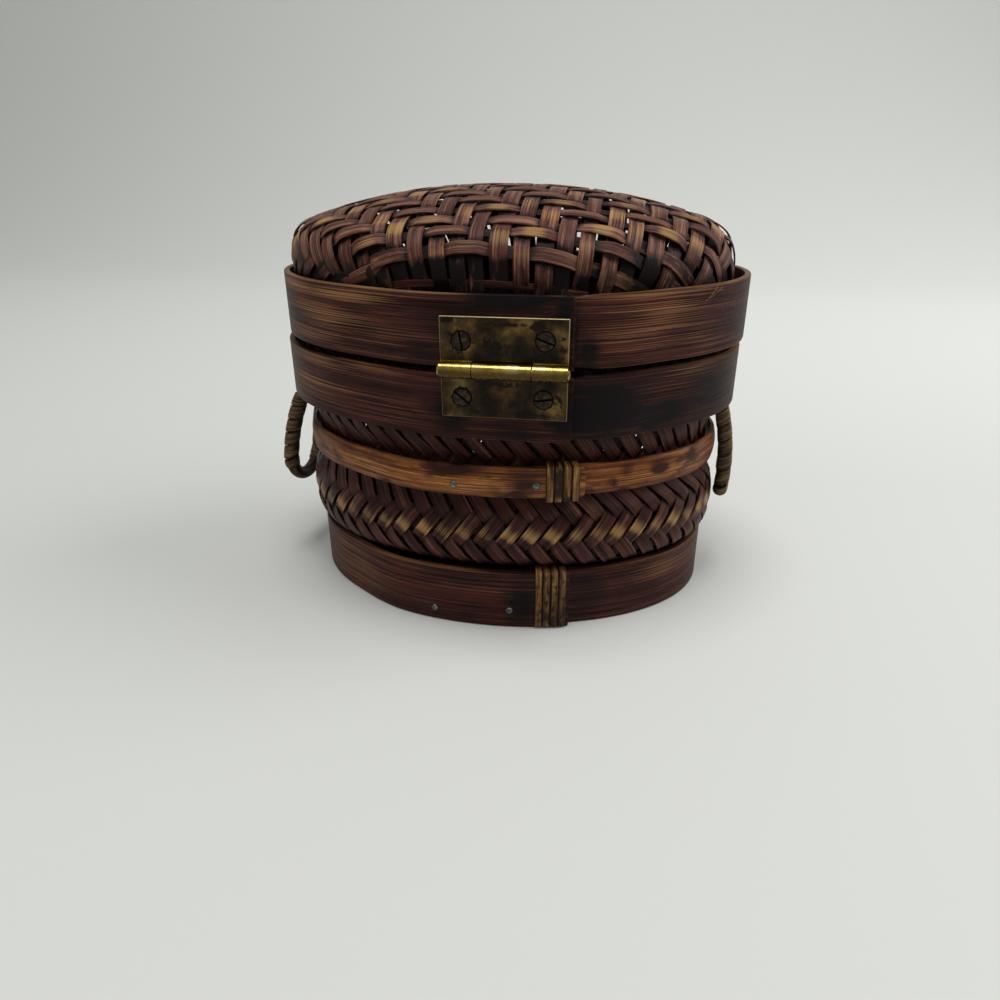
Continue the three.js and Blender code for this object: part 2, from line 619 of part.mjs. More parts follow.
// The lid's weave as a flat net of crossings and sunk gaps, in quads about each pair of neighbour crossings.
// A quad's diagonal runs from crossing to crossing where one splint lies over both, and else across it.
function lidNet(crownEdge) {
  const { pitchX, firstX, pitchY, firstY, sink, from } = LID_WEAVE;
  const spots = [];
  const found = new Map();
  const spot = (i, j) => {
    const key = `${i} ${j}`;
    if (!found.has(key)) {
      const flat = new THREE.Vector2(firstX + (i * pitchX) / 2, firstY + (j * pitchY) / 2);
      const point = onDome(flat, crownEdge, i % 2 === 0 ? 0 : sink);
      found.set(key, point.z < from ? -1 : spots.push({ flat, point }) - 1);
    }
    return found.get(key);
  };
  const triangles = [];
  const quad = (corners, isFloat) => {
    if (corners.some((corner) => corner < 0)) return;
    const [a, b, c, d] = corners;
    triangles.push(...(isFloat ? [[a, b, c], [a, c, d]] : [[a, b, d], [b, c, d]]));
  };
  const farthest = flatHalf(crownEdge) + Math.max(Math.abs(firstX), Math.abs(firstY));
  const reach = 2 * Math.ceil(farthest / Math.min(pitchX, pitchY));
  for (let i = -reach; i <= reach; i += 2) {
    for (let j = -reach; j <= reach; j += 2) {
      const step = twillStep((i + j) / 2);
      quad([spot(i, j), spot(i + 1, j + 1), spot(i, j + 2), spot(i - 1, j + 1)], step === 0);
      quad([spot(i, j), spot(i + 1, j - 1), spot(i + 2, j), spot(i + 1, j + 1)], step === TWILL_REPEAT / 2);
    }
  }
  return { spots, triangles };
}

// The net's edge, in order: the sides that only one triangle has
function netEdge(triangles) {
  const sides = new Map();
  for (const corners of triangles) {
    corners.forEach((a, i) => {
      const b = corners[(i + 1) % 3];
      if (!sides.delete(`${b} ${a}`)) sides.set(`${a} ${b}`, [a, b]);
    });
  }
  const after = new Map(sides.values());
  const edge = [after.keys().next().value];
  while (after.get(edge.at(-1)) !== edge[0]) edge.push(after.get(edge.at(-1)));
  return edge;
}

function lidWeave() {
  const { inHoop, all, crownEdge } = domeProfile();
  const net = lidNet(crownEdge);
  const edge = netEdge(net.triangles);
  // Rings go down the outside in the hoop, and up the inside to the crown
  const outer = inHoop.toReversed().map((point) => plainRing(point, lean(point.y)));
  const inner = innerProfile(all).map((point) => plainRing(point, lean(point.y)));
  const skin = ringSkin([...outer, ...inner]);
  closeEnd(skin, inner.at(-1), false);
  // The net is set in the first ring, which is laid flat beside it to find the triangles between them
  const half = flatHalf(crownEdge);
  const rim = outer[0].turns.map((turn) => {
    return new THREE.Vector2(half * Math.cos(turn), (half - OVAL_DIFFERENCE) * Math.sin(turn));
  });
  const start = skin.points.length;
  skin.points.push(...net.spots.map(({ point }) => point));
  const flat = [...rim, ...edge.map((i) => net.spots[i].flat)];
  const between = THREE.ShapeUtils.triangulateShape(rim, [flat.slice(rim.length)]);
  const places = [...rim.keys(), ...edge.map((i) => start + i)];
  const upward = between.map(([a, b, c]) => {
    const turn = flat[b].clone().sub(flat[a]).cross(flat[c].clone().sub(flat[a]));
    return turn > 0 ? [a, b, c] : [a, c, b];
  });
  const joining = upward.map((face) => face.map((i) => places[i]));
  const woven = net.triangles.map((face) => face.map((i) => start + i));
  skin.index.push(...[...joining, ...woven].flatMap(([a, b, c]) => [a, c, b]));
  return skinGeometry(skin);
}

function liner({ bottom, top }) {
  const { halfWidth, thickness } = LINER;
  const inner = halfWidth - thickness;
  const corners = [[halfWidth, bottom], [halfWidth, top], [inner, top], [inner, bottom]];
  return loft(corners.map(([x, z]) => ovalLoop(x, z)), true);
}

// The seat that the hinge leaves lie on, and the pin's line in front of it
const seatY = -(LID_HOOP.halfWidth - OVAL_DIFFERENCE + STRIP + SEAT_GAP);
const leafInner = seatY - SEAT_GAP / 2;
const leafOuter = leafInner - HINGE.leafThickness;
const pinY = leafInner - KNUCKLE.radius;
const leafLeft = HINGE.x - HINGE.leafWidth / 2;
const leafRight = HINGE.x + HINGE.leafWidth / 2;

const screwsOf = (onLid) => SCREWS.filter((place) => place.onLid === onLid);

// A leaf: a plate with rolled knuckles. side is +1 for the leaf above the pin and -1 for the one below.
function hingeLeaf(side, end, knuckles) {
  const { axisZ } = HINGE;
  const clear = axisZ + side * (KNUCKLE.radius + KNUCKLE_GAP);
  const between = (a, b) => [Math.min(a, b), Math.max(a, b)];
  const slab = (left, right, z0, z1) => {
    const [low, high] = between(z0, z1);
    return box([left, leafOuter, low], [right, leafInner, high]);
  };
  const plate = slab(leafLeft, leafRight, clear, end);
  const rolled = knuckles.flatMap(([left, right]) => [
    slab(left, right, axisZ, clear + side),
    rodX(KNUCKLE.radius, left, right, pinY, axisZ),
  ]);
  const holes = screwsOf(side > 0).map(countersink);
  const pinHole = rodX(KNUCKLE.bore, leafLeft - 1, leafRight + 1, pinY, axisZ);
  return cut(join([plate, ...rolled]), [pinHole, ...holes]);
}

function countersink({ x, z }) {
  const narrow = SCREW.shank + SEAT_GAP;
  const wide = SCREW.head + SEAT_GAP;
  const depth = HINGE.leafThickness;
  const profile = [[0, -1], [wide, -1], [wide, 0], [narrow, depth], [narrow, depth + 1], [0, depth + 1]];
  return turned(profile, HINGE_SEGMENTS).translate(x, leafOuter, z);
}

// A round piece about the Y line, from distances out and places along
function turned(profile, segments) {
  return welded(new THREE.LatheGeometry(profile.map(([r, y]) => new THREE.Vector2(r, y)), segments));
}

function screw({ x, z, slot }) {
  const { head, dome, shank, length, point } = SCREW;
  const depth = HINGE.leafThickness;
  const cap = [[0, -dome], [head * 0.6, -dome * 0.7], [head, 0]];
  const stem = [[shank, depth], [shank, length + depth - point], [0, length + depth]];
  const groove = box([-head, -dome - 1, -SLOT.width / 2], [head, SLOT.depth - dome, SLOT.width / 2]);
  const body = cut(turned([...cap, ...stem], SCREW_SEGMENTS), [groove.rotateY(radians(-slot))]);
  return body.translate(x, leafOuter, z);
}

function screwHole({ x, z }) {
  const radius = SCREW.shank + SEAT_GAP;
  const hole = new THREE.CylinderGeometry(radius, radius, 3 * SCREW.length, SCREW_SEGMENTS);
  return hole.translate(x, seatY + SCREW.length / 2, z);
}

function hingePin() {
  const { pin } = KNUCKLE;
  const { overhang, rivet, face, edge } = PIN_END;
  const under = HINGE.leafWidth / 2 + edge;
  const end = HINGE.leafWidth / 2 + overhang;
  const side = [[pin, 0], [pin, under], [rivet, under], [face, end - edge], [0, end]];
  const profile = [...side.toReversed().map(([r, y]) => [r, -y]), ...side.slice(1)];
  return turned(profile, SCREW_SEGMENTS).rotateZ(Math.PI / 2).translate(HINGE.x, pinY, HINGE.axisZ);
}

function hingeHoop(hoop, onLid) {
  return cut(bentStrip(hoop, flatSection(hoop)), screwsOf(onLid).map(screwHole));
}

function baseHoop() {
  const strip = bentStrip(BASE_HOOP, flatSection(BASE_HOOP));
  const length = BINDING_TURNS * CANE.pitch + CANE.width;
  const { depth, margin, inner, outer } = NOTCH;
  const left = BASE_BINDING_X - margin;
  const notch = box([left, outer, -depth], [left + length + 2 * margin, inner, depth]);
  return cut(strip, [notch, ...nailHoles(BASE_HOOP, BASE_NAILS)]);
}

function waistHoop() {
  return cut(bentStrip(WAIST_HOOP, halfRoundSection(WAIST_HOOP)), nailHoles(WAIST_HOOP, WAIST_NAILS));
}

function handle(name, settings) {
  const group = new THREE.Group();
  group.add(cane(`${name}_core`, handleCore(settings), COLOURS.rod));
  group.add(cane(`${name}_wrap_1`, handleWrap(settings, -1), COLOURS.handle));
  group.add(cane(`${name}_wrap_2`, handleWrap(settings, 1), COLOURS.handle));
  return group;
}

const [firstJoint, secondJoint] = KNUCKLE_JOINTS;
const halfGap = KNUCKLE_GAP / 2;
const outerKnuckles = [[leafLeft, firstJoint - halfGap], [secondJoint + halfGap, leafRight]];
const middleKnuckle = [[firstJoint + halfGap, secondJoint - halfGap]];
const screws = (onLid) => screwsOf(onLid).map((place) => steel(place.name, screw(place)));
const underWaist = WAIST_HOOP.bottom - CANE.clearance - CANE.thickness;

const basket = new THREE.Group();
basket.add(
  woven('woven_basket', wovenBasket()),
  bamboo('base_hoop', baseHoop()),
  cane('base_binding', binding(BASE_HOOP, BASE_BINDING_X, CANE.offFloor), COLOURS.cane),
  ...nails(BASE_HOOP, BASE_NAILS, 'base_nail'),
  bamboo('waist_hoop', waistHoop(), COLOURS.waist),
  cane('waist_binding', binding(WAIST_HOOP, WAIST_BINDING_X, underWaist), COLOURS.cane),
  ...nails(WAIST_HOOP, WAIST_NAILS, 'waist_nail'),
  bamboo('rim_hoop', hingeHoop(RIM_HOOP, false)),
  bamboo('rim_liner', liner(RIM_LINER)),
  handle('left_handle', LEFT_HANDLE),
  handle('right_handle', RIGHT_HANDLE),
  brass('hinge_lower_leaf', hingeLeaf(-1, LOWER_LEAF_BOTTOM, middleKnuckle)),
  brass('hinge_pin', hingePin()),
  ...screws(false),
);

const lid = new THREE.Group();
lid.add(
  woven('lid_weave', lidWeave()),
  bamboo('lid_hoop', hingeHoop(LID_HOOP, true)),
  bamboo('lid_liner', liner(LID_LINER)),
  brass('hinge_upper_leaf', hingeLeaf(1, UPPER_LEAF_TOP, outerKnuckles)),
  ...screws(true),
);

// The box stands on the floor with the middle of its outline over the origin
const trinketBox = new THREE.Group();
trinketBox.add(basket, lid);
const outline = new THREE.Box3().setFromObject(trinketBox);
const centre = outline.getCenter(new THREE.Vector3());
trinketBox.position.set(-centre.x, -centre.y, -outline.min.z);
trinketBox.updateMatrixWorld(true);

export default trinketBox;
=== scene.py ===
import math
import random
from bisect import bisect_right

import bmesh
import bpy
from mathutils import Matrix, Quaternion, Vector
from mathutils.geometry import interpolate_bezier


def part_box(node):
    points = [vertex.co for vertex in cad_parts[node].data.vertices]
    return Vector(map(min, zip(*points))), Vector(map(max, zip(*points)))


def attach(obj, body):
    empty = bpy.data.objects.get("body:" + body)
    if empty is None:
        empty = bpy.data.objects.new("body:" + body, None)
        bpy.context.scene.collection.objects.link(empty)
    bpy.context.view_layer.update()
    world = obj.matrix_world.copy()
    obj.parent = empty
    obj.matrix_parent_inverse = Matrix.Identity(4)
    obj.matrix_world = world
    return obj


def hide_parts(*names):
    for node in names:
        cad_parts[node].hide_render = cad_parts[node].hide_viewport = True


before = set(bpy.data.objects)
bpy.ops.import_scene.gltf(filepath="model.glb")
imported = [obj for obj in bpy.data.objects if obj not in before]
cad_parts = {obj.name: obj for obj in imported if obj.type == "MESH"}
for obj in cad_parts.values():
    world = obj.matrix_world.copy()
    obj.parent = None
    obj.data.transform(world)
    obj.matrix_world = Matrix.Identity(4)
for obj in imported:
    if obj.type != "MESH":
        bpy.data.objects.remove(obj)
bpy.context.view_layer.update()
print("frame loaded with", len(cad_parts), "nodes")

mm = 0.001
chance = random.Random(29)

# shapes are worked out in millimetres about the middle of the oval, then set in the frame
linerLow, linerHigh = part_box("rim_liner")
ovalMiddle = (linerLow + linerHigh) / 2 / mm
ovalMiddle.z = 0
ovalDifference = 21.7  # an oval's half width less its half depth
strip = 2.0  # thickness of a bent hoop
seatGap = 0.3  # left between pieces that touch
sharpAngle = math.radians(38)  # edges that turn further than this stay sharp
upward = Vector((0, 0, 1))
vertKind, edgeKind = bmesh.types.BMVert, bmesh.types.BMEdge


def smoothStep(value, low, high):
    share = min(max((value - low) / (high - low), 0), 1)
    return share * share * (3 - 2 * share)


def rising(value, most, low, high):
    return most * smoothStep(value, low, high)


def bell(value, middle, reach):
    return math.exp(-(((value - middle) / reach) ** 2))


def reaches(line):
    # length of a line up to each of its points
    lengths = [0.0]
    for a, b in zip(line, line[1:]):
        lengths.append(lengths[-1] + (b - a).length)
    return lengths


def smoothLine(points, pieces):
    # a smooth line through the points, and its length up to each of its own points
    reach = reaches(points)
    last = len(points) - 1
    slopes = []
    for i in range(last + 1):
        low, high = max(i - 1, 0), min(i + 1, last)
        slopes.append((points[high] - points[low]) / (reach[high] - reach[low]))
    line = []
    for i in range(last):
        third = (reach[i + 1] - reach[i]) / 3
        handles = points[i] + slopes[i] * third, points[i + 1] - slopes[i + 1] * third
        line += interpolate_bezier(points[i], *handles, points[i + 1], pieces + 1)[:-1]
    line.append(points[last].copy())
    return line, reaches(line)


def along(line, lengths, distance):
    # the point at a distance along a line, and the line's direction there
    distance = min(max(distance, 0), lengths[-1])
    high = min(bisect_right(lengths, distance), len(lengths) - 1)
    low = high - 1
    share = (distance - lengths[low]) / (lengths[high] - lengths[low])
    return line[low].lerp(line[high], share), (line[high] - line[low]).normalized()


def ovalPoint(halfWidth, turn):
    # a point of an oval, and the way out there
    halfDepth = halfWidth - ovalDifference
    point = Vector((halfWidth * math.cos(turn), halfDepth * math.sin(turn)))
    return point, Vector((math.cos(turn) / halfWidth, math.sin(turn) / halfDepth)).normalized()


def ofKind(items, kind):
    return [item for item in items if isinstance(item, kind)]


def newMesh():
    bm = bmesh.new()
    bm.verts.layers.float_vector.new("grain")  # along, across and the strip's own tone
    # on the knuckles the edge mark holds painted shade
    bm.verts.layers.float_vector.new("marks")  # worn, stain and painted shade, edge
    return bm


def spotAt(centre, side, out, half, reach, **extras):
    # where a strip's cross line lies: its middle, the ways across and out, half its width, and the
    # length of the strip up to it
    return {"centre": centre, "side": side, "out": out, "half": half, "along": reach} | extras


def spotsOn(points, normals, half, **extras):
    # spots along a line on a surface, with the way across square to the line
    lengths = reaches(points)
    last = len(points) - 1
    spots = []
    for i, (point, normal) in enumerate(zip(points, normals)):
        heading = (points[min(i + 1, last)] - points[max(i - 1, 0)]).normalized()
        side = normal.cross(heading).normalized()
        own = {name: values[i] for name, values in extras.items()}
        spots.append(spotAt(point, side, heading.cross(side), half, lengths[i], **own))
    return spots


def sectionOf(thickness, rows):
    # a strip's section: share across, outer face and inner face, the faces given in half thicknesses
    return [(across, outer * thickness / 2, -inner * thickness / 2) for across, outer, inner in rows]


def bendStrip(bm, spots, section, tone, marks):
    # a flat strip, made thick and then bent so that each of its cross lines lies at its spot
    steps, columns = len(spots) - 1, len(section) - 1
    flat = bmesh.ops.create_grid(bm, x_segments=steps, y_segments=columns, size=0.5)["verts"]
    faces = list(dict.fromkeys(face for vert in flat for face in vert.link_faces))
    raised = ofKind(bmesh.ops.extrude_face_region(bm, geom=faces, use_keep_orig=True)["geom"], vertKind)
    grain = bm.verts.layers.float_vector["grain"]
    mark = bm.verts.layers.float_vector["marks"]
    for verts, side in ((flat, 2), (raised, 1)):
        for vert in verts:
            spot = spots[round((vert.co.x + 0.5) * steps)]
            place = section[round((vert.co.y + 0.5) * columns)]
            across = place[0] * spot["half"]
            vert.co = (spot["centre"] + spot["side"] * across + spot["out"] * place[side] + ovalMiddle) * mm
            vert[grain] = (spot["along"] * mm, across * mm, tone)
            vert[mark] = marks(spot, place[0])


def bendTube(bm, spots, sides, tone):
    # a sheet rolled into a tube about the spots, welded along its seam and closed at its ends
    steps = len(spots) - 1
    flat = bmesh.ops.create_grid(bm, x_segments=steps, y_segments=sides, size=0.5)["verts"]
    grain = bm.verts.layers.float_vector["grain"]
    for vert in flat:
        spot = spots[round((vert.co.x + 0.5) * steps)]
        turn = 2 * math.pi * round((vert.co.y + 0.5) * sides) / sides
        around = spot["side"] * math.sin(turn) * spot["half"] + spot["out"] * math.cos(turn) * spot["thick"]
        vert.co = (spot["centre"] + around + ovalMiddle) * mm
        vert[grain] = (spot["along"] * mm, turn * spot["half"] * mm, tone)
    bmesh.ops.remove_doubles(bm, verts=flat, dist=1e-7)
    bmesh.ops.holes_fill(bm, edges=[edge for edge in bm.edges if edge.is_boundary], sides=sides)


def makePiece(bm, name, materials, body, slotName, *nodes):
    bmesh.ops.recalc_face_normals(bm, faces=bm.faces[:])
    for face in bm.faces:
        face.smooth = True
    for edge in bm.edges:
        if edge.is_manifold and edge.calc_face_angle() > sharpAngle:
            edge.smooth = False
    mesh = bpy.data.meshes.new(name)
    bm.to_mesh(mesh)
    bm.free()
    for material in materials:
        mesh.materials.append(material)
    piece = bpy.data.objects.new(name, mesh)
    bpy.context.scene.collection.objects.link(piece)
    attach(piece, body)
    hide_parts(*nodes)
    print("made", name, len(mesh.polygons), "faces")


def stripPiece(spots, section, marks, name, *rest):
    # a piece that is one strip
    bm = newMesh()
    bendStrip(bm, spots, section, chance.random(), marks)
    makePiece(bm, name, *rest)


# finishes
# shares of a strip's tone. What its own tone may add is taken from the last
grainShares = {"fibre": 0.42, "streak": 0.34, "blotch": 0.24}
grainSpan, metalSpan = (0.36, 0.64), (0.3, 0.7)  # the part of a noise's values that is used
tintFrom = 0.5  # blotch at which a look's tint comes in
speckShare = 0.5  # of the specks in a metal's stains
# how a mark shows: the share of the noise that breaks it up, and the amounts where it starts and is full
edgeShow, wornShow, stainShow = (0.5, 0.55, 1.1), (0.7, 0.72, 1.35), (0.5, 0.5, 1.0)
bumpDepth = 0.2 * mm


def colour(hexValue):
    channels = [int(hexValue[i : i + 2], 16) / 255 for i in (1, 3, 5)]
    linear = [c / 12.92 if c <= 0.04045 else ((c + 0.055) / 1.055) ** 2.4 for c in channels]
    return (*linear, 1)


def addNode(material, kind, links, stops=(), **settings):
    node = material.node_tree.nodes.new("ShaderNode" + kind)
    for name, value in settings.items():
        setattr(node, name, value)
    for socket, value in links.items():
        if isinstance(value, bpy.types.NodeSocket):
            material.node_tree.links.new(value, node.inputs[socket])
        else:
            node.inputs[socket].default_value = value
    for i, (position, shade) in enumerate(stops):
        element = node.color_ramp.elements[i] if i < 2 else node.color_ramp.elements.new(position)
        element.position = position
        element.color = colour(shade)
    return node.outputs


def blend(material, share, under, over):
    return addNode(material, "Mix", {0: share, 6: under, 7: over}, data_type="RGBA")[2]


def shareOf(material, value, low, high):
    # how far a value is from low to high
    return addNode(material, "MapRange", {0: value, 1: low, 2: high})[0]


def between(material, share, low, high):
    return addNode(material, "MapRange", {0: share, 3: low, 4: high})[0]


def addShare(material, value, weight, rest):
    return addNode(material, "Math", {0: value, 1: weight, 2: rest}, operation="MULTIPLY_ADD")[0]


def newMaterial(name):
    material = bpy.data.materials.new(name)
    material.use_nodes = True
    return material, material.node_tree.nodes["Principled BSDF"]


def finishShader(material, shader, look, shade, rough, height):
    bump = {"Strength": look["bump"], "Distance": bumpDepth, "Height": height}
    links = {"Base Color": shade, "Roughness": rough, "Normal": addNode(material, "Bump", bump)[0]}
    for socket, value in links.items():
        material.node_tree.links.new(value, shader.inputs[socket])
    shader.inputs["Specular IOR Level"].default_value = look.get("specular", 0.5)


def bambooFinish(name, look):
    # fine fibres, wider streaks and blotches along the strip, then its edge, wear, stains and painted shade
    material, shader = newMaterial(name)
    grain = addNode(material, "Attribute", {}, attribute_name="grain")["Vector"]
    marks = addNode(material, "Attribute", {}, attribute_name="marks")["Vector"]
    worn, stained, edge = addNode(material, "SeparateXYZ", {0: marks})
    tone = addNode(material, "SeparateXYZ", {0: grain})["Z"]
    level = addNode(material, "Math", {0: tone, 1: look["toneRange"]}, operation="MULTIPLY")[0]
    noises = []
    shares = grainShares | {"blotch": grainShares["blotch"] - look["toneRange"]}
    for part, share in shares.items():
        length, width, shift = look[part]
        scale = (1 / (length * mm), 1 / (width * mm), shift)
        vector = addNode(material, "VectorMath", {0: grain, 1: scale}, operation="MULTIPLY")[0]
        settings = {"Vector": vector, "Scale": 1.0, "Detail": 3.0, "Roughness": 0.65}
        noise = shareOf(material, addNode(material, "TexNoise", settings)[0], *grainSpan)
        level = addShare(material, noise, share, level)
        noises.append(noise)
    fibre, streak, blotch = noises
    shade = addNode(material, "ValToRGB", {0: level}, stops=look["stops"])[0]
    tintShare, tint = look["tint"]
    share = addNode(material, "MapRange", {0: blotch, 1: tintFrom, 3: 0.0, 4: tintShare})[0]
    shade = blend(material, share, shade, colour(tint))
    for mark, noise, (weight, low, high), hue in (
        (edge, streak, edgeShow, look["edge"]),
        (worn, fibre, look.get("rub", wornShow), look["worn"]),
        (stained, blotch, stainShow, look["stain"]),
    ):
        share = shareOf(material, addShare(material, noise, weight, mark), low, high)
        shade = blend(material, share, shade, colour(hue))
    rough = between(material, fibre, *look["gloss"])
    finishShader(material, shader, look, shade, rough, fibre)
    return material


# fibre, streak and blotch are length and width in mm, and the shift between strips

# split bamboo, bent and stained: fine golden lines on red-brown to near black, paler along handled edges
stainedBamboo = bambooFinish("split_bamboo_bent_and_stained", {
    "fibre": (60, 0.32, 17.3), "streak": (90, 0.95, 9.1), "blotch": (26, 6, 5.7),
    "stops": ((0.14, "#160a0a"), (0.42, "#331a18"), (0.66, "#4e2d25"), (0.92, "#815439")),
    "tint": (0.55, "#481c17"), "worn": "#996d45", "stain": "#151212", "edge": "#8a6742",
    "toneRange": 0.04, "gloss": (0.36, 0.50), "specular": 0.07, "bump": 0.35,
})
# flat splints of the same bamboo: darker, rubbed to gold where they stand proud
# its stain colour is painted shade, in the dips and on the shaded wall and lid
wovenBamboo = bambooFinish("bamboo_splint_woven_and_stained", {
    "fibre": (32, 0.3, 31.7), "streak": (45, 1.3, 13.9), "blotch": (9, 4, 7.7),
    "stops": ((0.14, "#160908"), (0.38, "#361b17"), (0.62, "#59352c"), (0.92, "#946953")),
    "tint": (0.55, "#4c1c19"), "worn": "#b28a50", "stain": "#120908", "edge": "#6d5243",
    "rub": (0.4, 0.5, 1.1), "toneRange": 0.2, "gloss": (0.34, 0.50), "specular": 0.12, "bump": 0.4,
})
# half-round bamboo, stained lightly: orange tan with dark mottling
halfRoundBamboo = bambooFinish("half_round_bamboo_stained_tan", {
    "fibre": (34, 0.36, 11.3), "streak": (50, 2.6, 7.9), "blotch": (14, 4.6, 4.3),
    "stops": ((0.14, "#3c1b10"), (0.38, "#743f20"), (0.60, "#a06534"), (0.88, "#cd9a54")),
    "tint": (0.85, "#5a2a15"), "worn": "#c39a58", "stain": "#34180f", "edge": "#b08a5a",
    "toneRange": 0.04, "gloss": (0.32, 0.46), "specular": 0.14, "bump": 0.25,
})
# split cane, wound on and worn: dry golden tan, speckled brown
woundCane = bambooFinish("split_cane_wound", {
    "fibre": (10, 0.5, 15.3), "streak": (14, 0.8, 9.7), "blotch": (2.6, 1.4, 3.9),
    "stops": ((0.18, "#3f2716"), (0.42, "#7a5530"), (0.62, "#9c7543"), (0.86, "#c3a064")),
    "tint": (0.3, "#8a5f30"), "worn": "#c8a868", "stain": "#2f1e16", "edge": "#20140d",
    "toneRange": 0.04, "gloss": (0.48, 0.62), "specular": 0.12, "bump": 0.5,
})
# flat cane on the handles, stained olive brown, with a golden rub on its outer side
# its stain colour is painted shade on the cane's inner side, towards the basket
handleCane = bambooFinish("flat_cane_handle_wrap", {
    "fibre": (14, 0.5, 15.3), "streak": (22, 1.1, 9.7), "blotch": (5, 2.6, 3.9),
    "stops": ((0.18, "#1f1511"), (0.42, "#423127"), (0.62, "#5d4835"), (0.86, "#826a4a")),
    "tint": (0.3, "#5c3c1f"), "worn": "#a98648", "stain": "#1d140d", "edge": "#130d08",
    "toneRange": 0.04, "gloss": (0.40, 0.54), "specular": 0.1, "bump": 0.4,
})
# rattan rod, stained near black and smooth from handling
darkRod = bambooFinish("rattan_rod_stained_black", {
    "fibre": (22, 0.6, 15.3), "streak": (30, 1.6, 9.7), "blotch": (6, 3.0, 3.9),
    "stops": ((0.18, "#15100d"), (0.42, "#261d18"), (0.62, "#382c25"), (0.86, "#56463a")),
    "tint": (0.2, "#2a1c14"), "worn": "#54463a", "stain": "#120f0d", "edge": "#2a211b",
    "toneRange": 0.05, "gloss": (0.34, 0.48), "specular": 0.1, "bump": 0.2,
})


def metalFinish(name, look):
    # clouds of tarnish, specks and stains, and a fine grit in the surface
    material, shader = newMaterial(name)
    point = addNode(material, "TexCoord", {})["Object"]
    marks = addNode(material, "Attribute", {}, attribute_name="marks")["Vector"]
    marks = addNode(material, "SeparateXYZ", {0: marks})
    noises = []
    for size in look["sizes"]:
        settings = {"Vector": point, "Scale": 1 / (size * mm), "Detail": 3.0, "Roughness": 0.6}
        noises.append(shareOf(material, addNode(material, "TexNoise", settings)[0], *metalSpan))
    cloud, speck, grit = noises
    shade = addNode(material, "ValToRGB", {0: cloud}, stops=look["stops"])[0]
    # the third mark pales the plates' edges, and puts painted shade on the knuckles' lower half
    bright = blend(material, marks["Z"], shade, colour(look["edge"]))
    stained = addShare(material, speck, speckShare, marks["Y"])
    share = shareOf(material, stained, *look["specks"])
    rusty = blend(material, cloud, colour(look["dirt"]), colour(look["rust"]))
    shade = blend(material, share, bright, rusty)
    least, most = look["metal"]
    bare = between(material, share, most, least)
    material.node_tree.links.new(bare, shader.inputs["Metallic"])
    rough = between(material, cloud, *look["rough"])
    finishShader(material, shader, look, shade, rough, grit)
    return material


# sizes are those of clouds, specks and grit in mm

# brass sheet, tarnished: dark olive brown with stains and rust-brown specks
# its stains also paint the shade round the screw heads
tarnishedBrass = metalFinish("brass_sheet_tarnished", {
    "sizes": (9, 1.3, 0.5), "edge": "#b9a878", "dirt": "#0a0705", "rust": "#26140b",
    "stops": ((0.15, "#181109"), (0.42, "#302414"), (0.66, "#503d20"), (0.90, "#775f35")),
    "specks": (0.44, 0.62), "metal": (0.75, 0.8), "rough": (0.44, 0.60), "bump": 0.15,
})
# the knuckles, rubbed bright, with painted shade over their lower half in the edge colour
brightBrass = metalFinish("brass_rolled_and_rubbed_bright", {
    "sizes": (5, 1.1, 0.4), "edge": "#4a3820", "dirt": "#4a3a1e", "rust": "#6b4526",
    "stops": ((0.20, "#8f763a"), (0.55, "#aa914f"), (0.85, "#c3ad6e")),
    "specks": (0.47, 0.56), "metal": (0.6, 1.0), "rough": (0.22, 0.32), "bump": 0.06,
})
# steel screws, browned with age
brownedSteel = metalFinish("steel_browned", {
    "sizes": (1.6, 0.9, 0.3), "edge": "#6b6156", "dirt": "#1a120d", "rust": "#2c1c13",
    "stops": ((0.20, "#211914"), (0.55, "#32271f"), (0.85, "#4c4034")),
    "specks": (0.40, 0.50), "metal": (0.3, 0.8), "rough": (0.42, 0.58), "bump": 0.2,
})
# steel nail heads, dulled grey
nailSteel = metalFinish("steel_nail_head_dulled", {
    "sizes": (1.2, 0.7, 0.3), "edge": "#a5a7a2", "dirt": "#241f1b", "rust": "#33271f",
    "stops": ((0.20, "#444543"), (0.55, "#6a6c69"), (0.85, "#8f918c")),
    "specks": (0.40, 0.50), "metal": (0.4, 0.9), "rough": (0.36, 0.5), "bump": 0.15,
})
# painted shade in the screws' slots and round their heads: matt and near black
slotShade = metalFinish("painted_shade_in_slots", {
    "sizes": (0.8, 0.5, 0.2), "edge": "#15100c", "dirt": "#050404", "rust": "#120c08",
    "stops": ((0.20, "#070605"), (0.80, "#15100c")),
    "specks": (0.40, 0.50), "metal": (0.0, 0.0), "rough": (0.8, 0.95), "specular": 0.05, "bump": 0.3,
})
print("finishes made")

# splints: flat, with small eased edges, over two and under two
splintSection = sectionOf(0.5, (
    (-1, 0.3, 0.6), (-0.95, 0.88, 1), (-0.85, 1, 1), (0, 1, 1), (0.85, 1, 1), (0.95, 0.88, 1), (1, 0.3, 0.6),
))
floatForm = {"gain": 1.35, "flatness": 6, "peak": 0.12}  # how a wave becomes a long flat float
# amounts of a splint's pale edges and of the painted shade in its dips, each with the crests between
# which it comes, and the crests between which its gold comes
splintEdge, splintDipShade, splintGold = (0.3, 0.1, 0.95), (0.75, -0.65, 0.3), (0.3, 1.0)
splintRim = 0.9  # how far across the pale edges start


def floatCrest(phase):
    # +1 on the middle of a float over the crossing strips and -1 beneath them
    return math.cos((phase - 0.5) * math.pi / 2)


def floatWave(phase):
    # the same, flattened, for the splint's rise and fall
    wave = floatCrest(phase) * floatForm["gain"]
    power = floatForm["flatness"]
    return wave / (1 + abs(wave) ** power) ** (1 / power) * (1 + floatForm["peak"] * max(wave - 1, 0))


def splintMarks(spot, across):
    gold = rising(spot["crest"], spot["worn"], *splintGold)
    # painted shade where the splint dips beneath its crossing splints, and in shaded places
    dark = max(rising(-spot["crest"], *splintDipShade), spot["shaded"])
    return gold, dark, rising(spot["crest"], *splintEdge) * (abs(across) > splintRim)


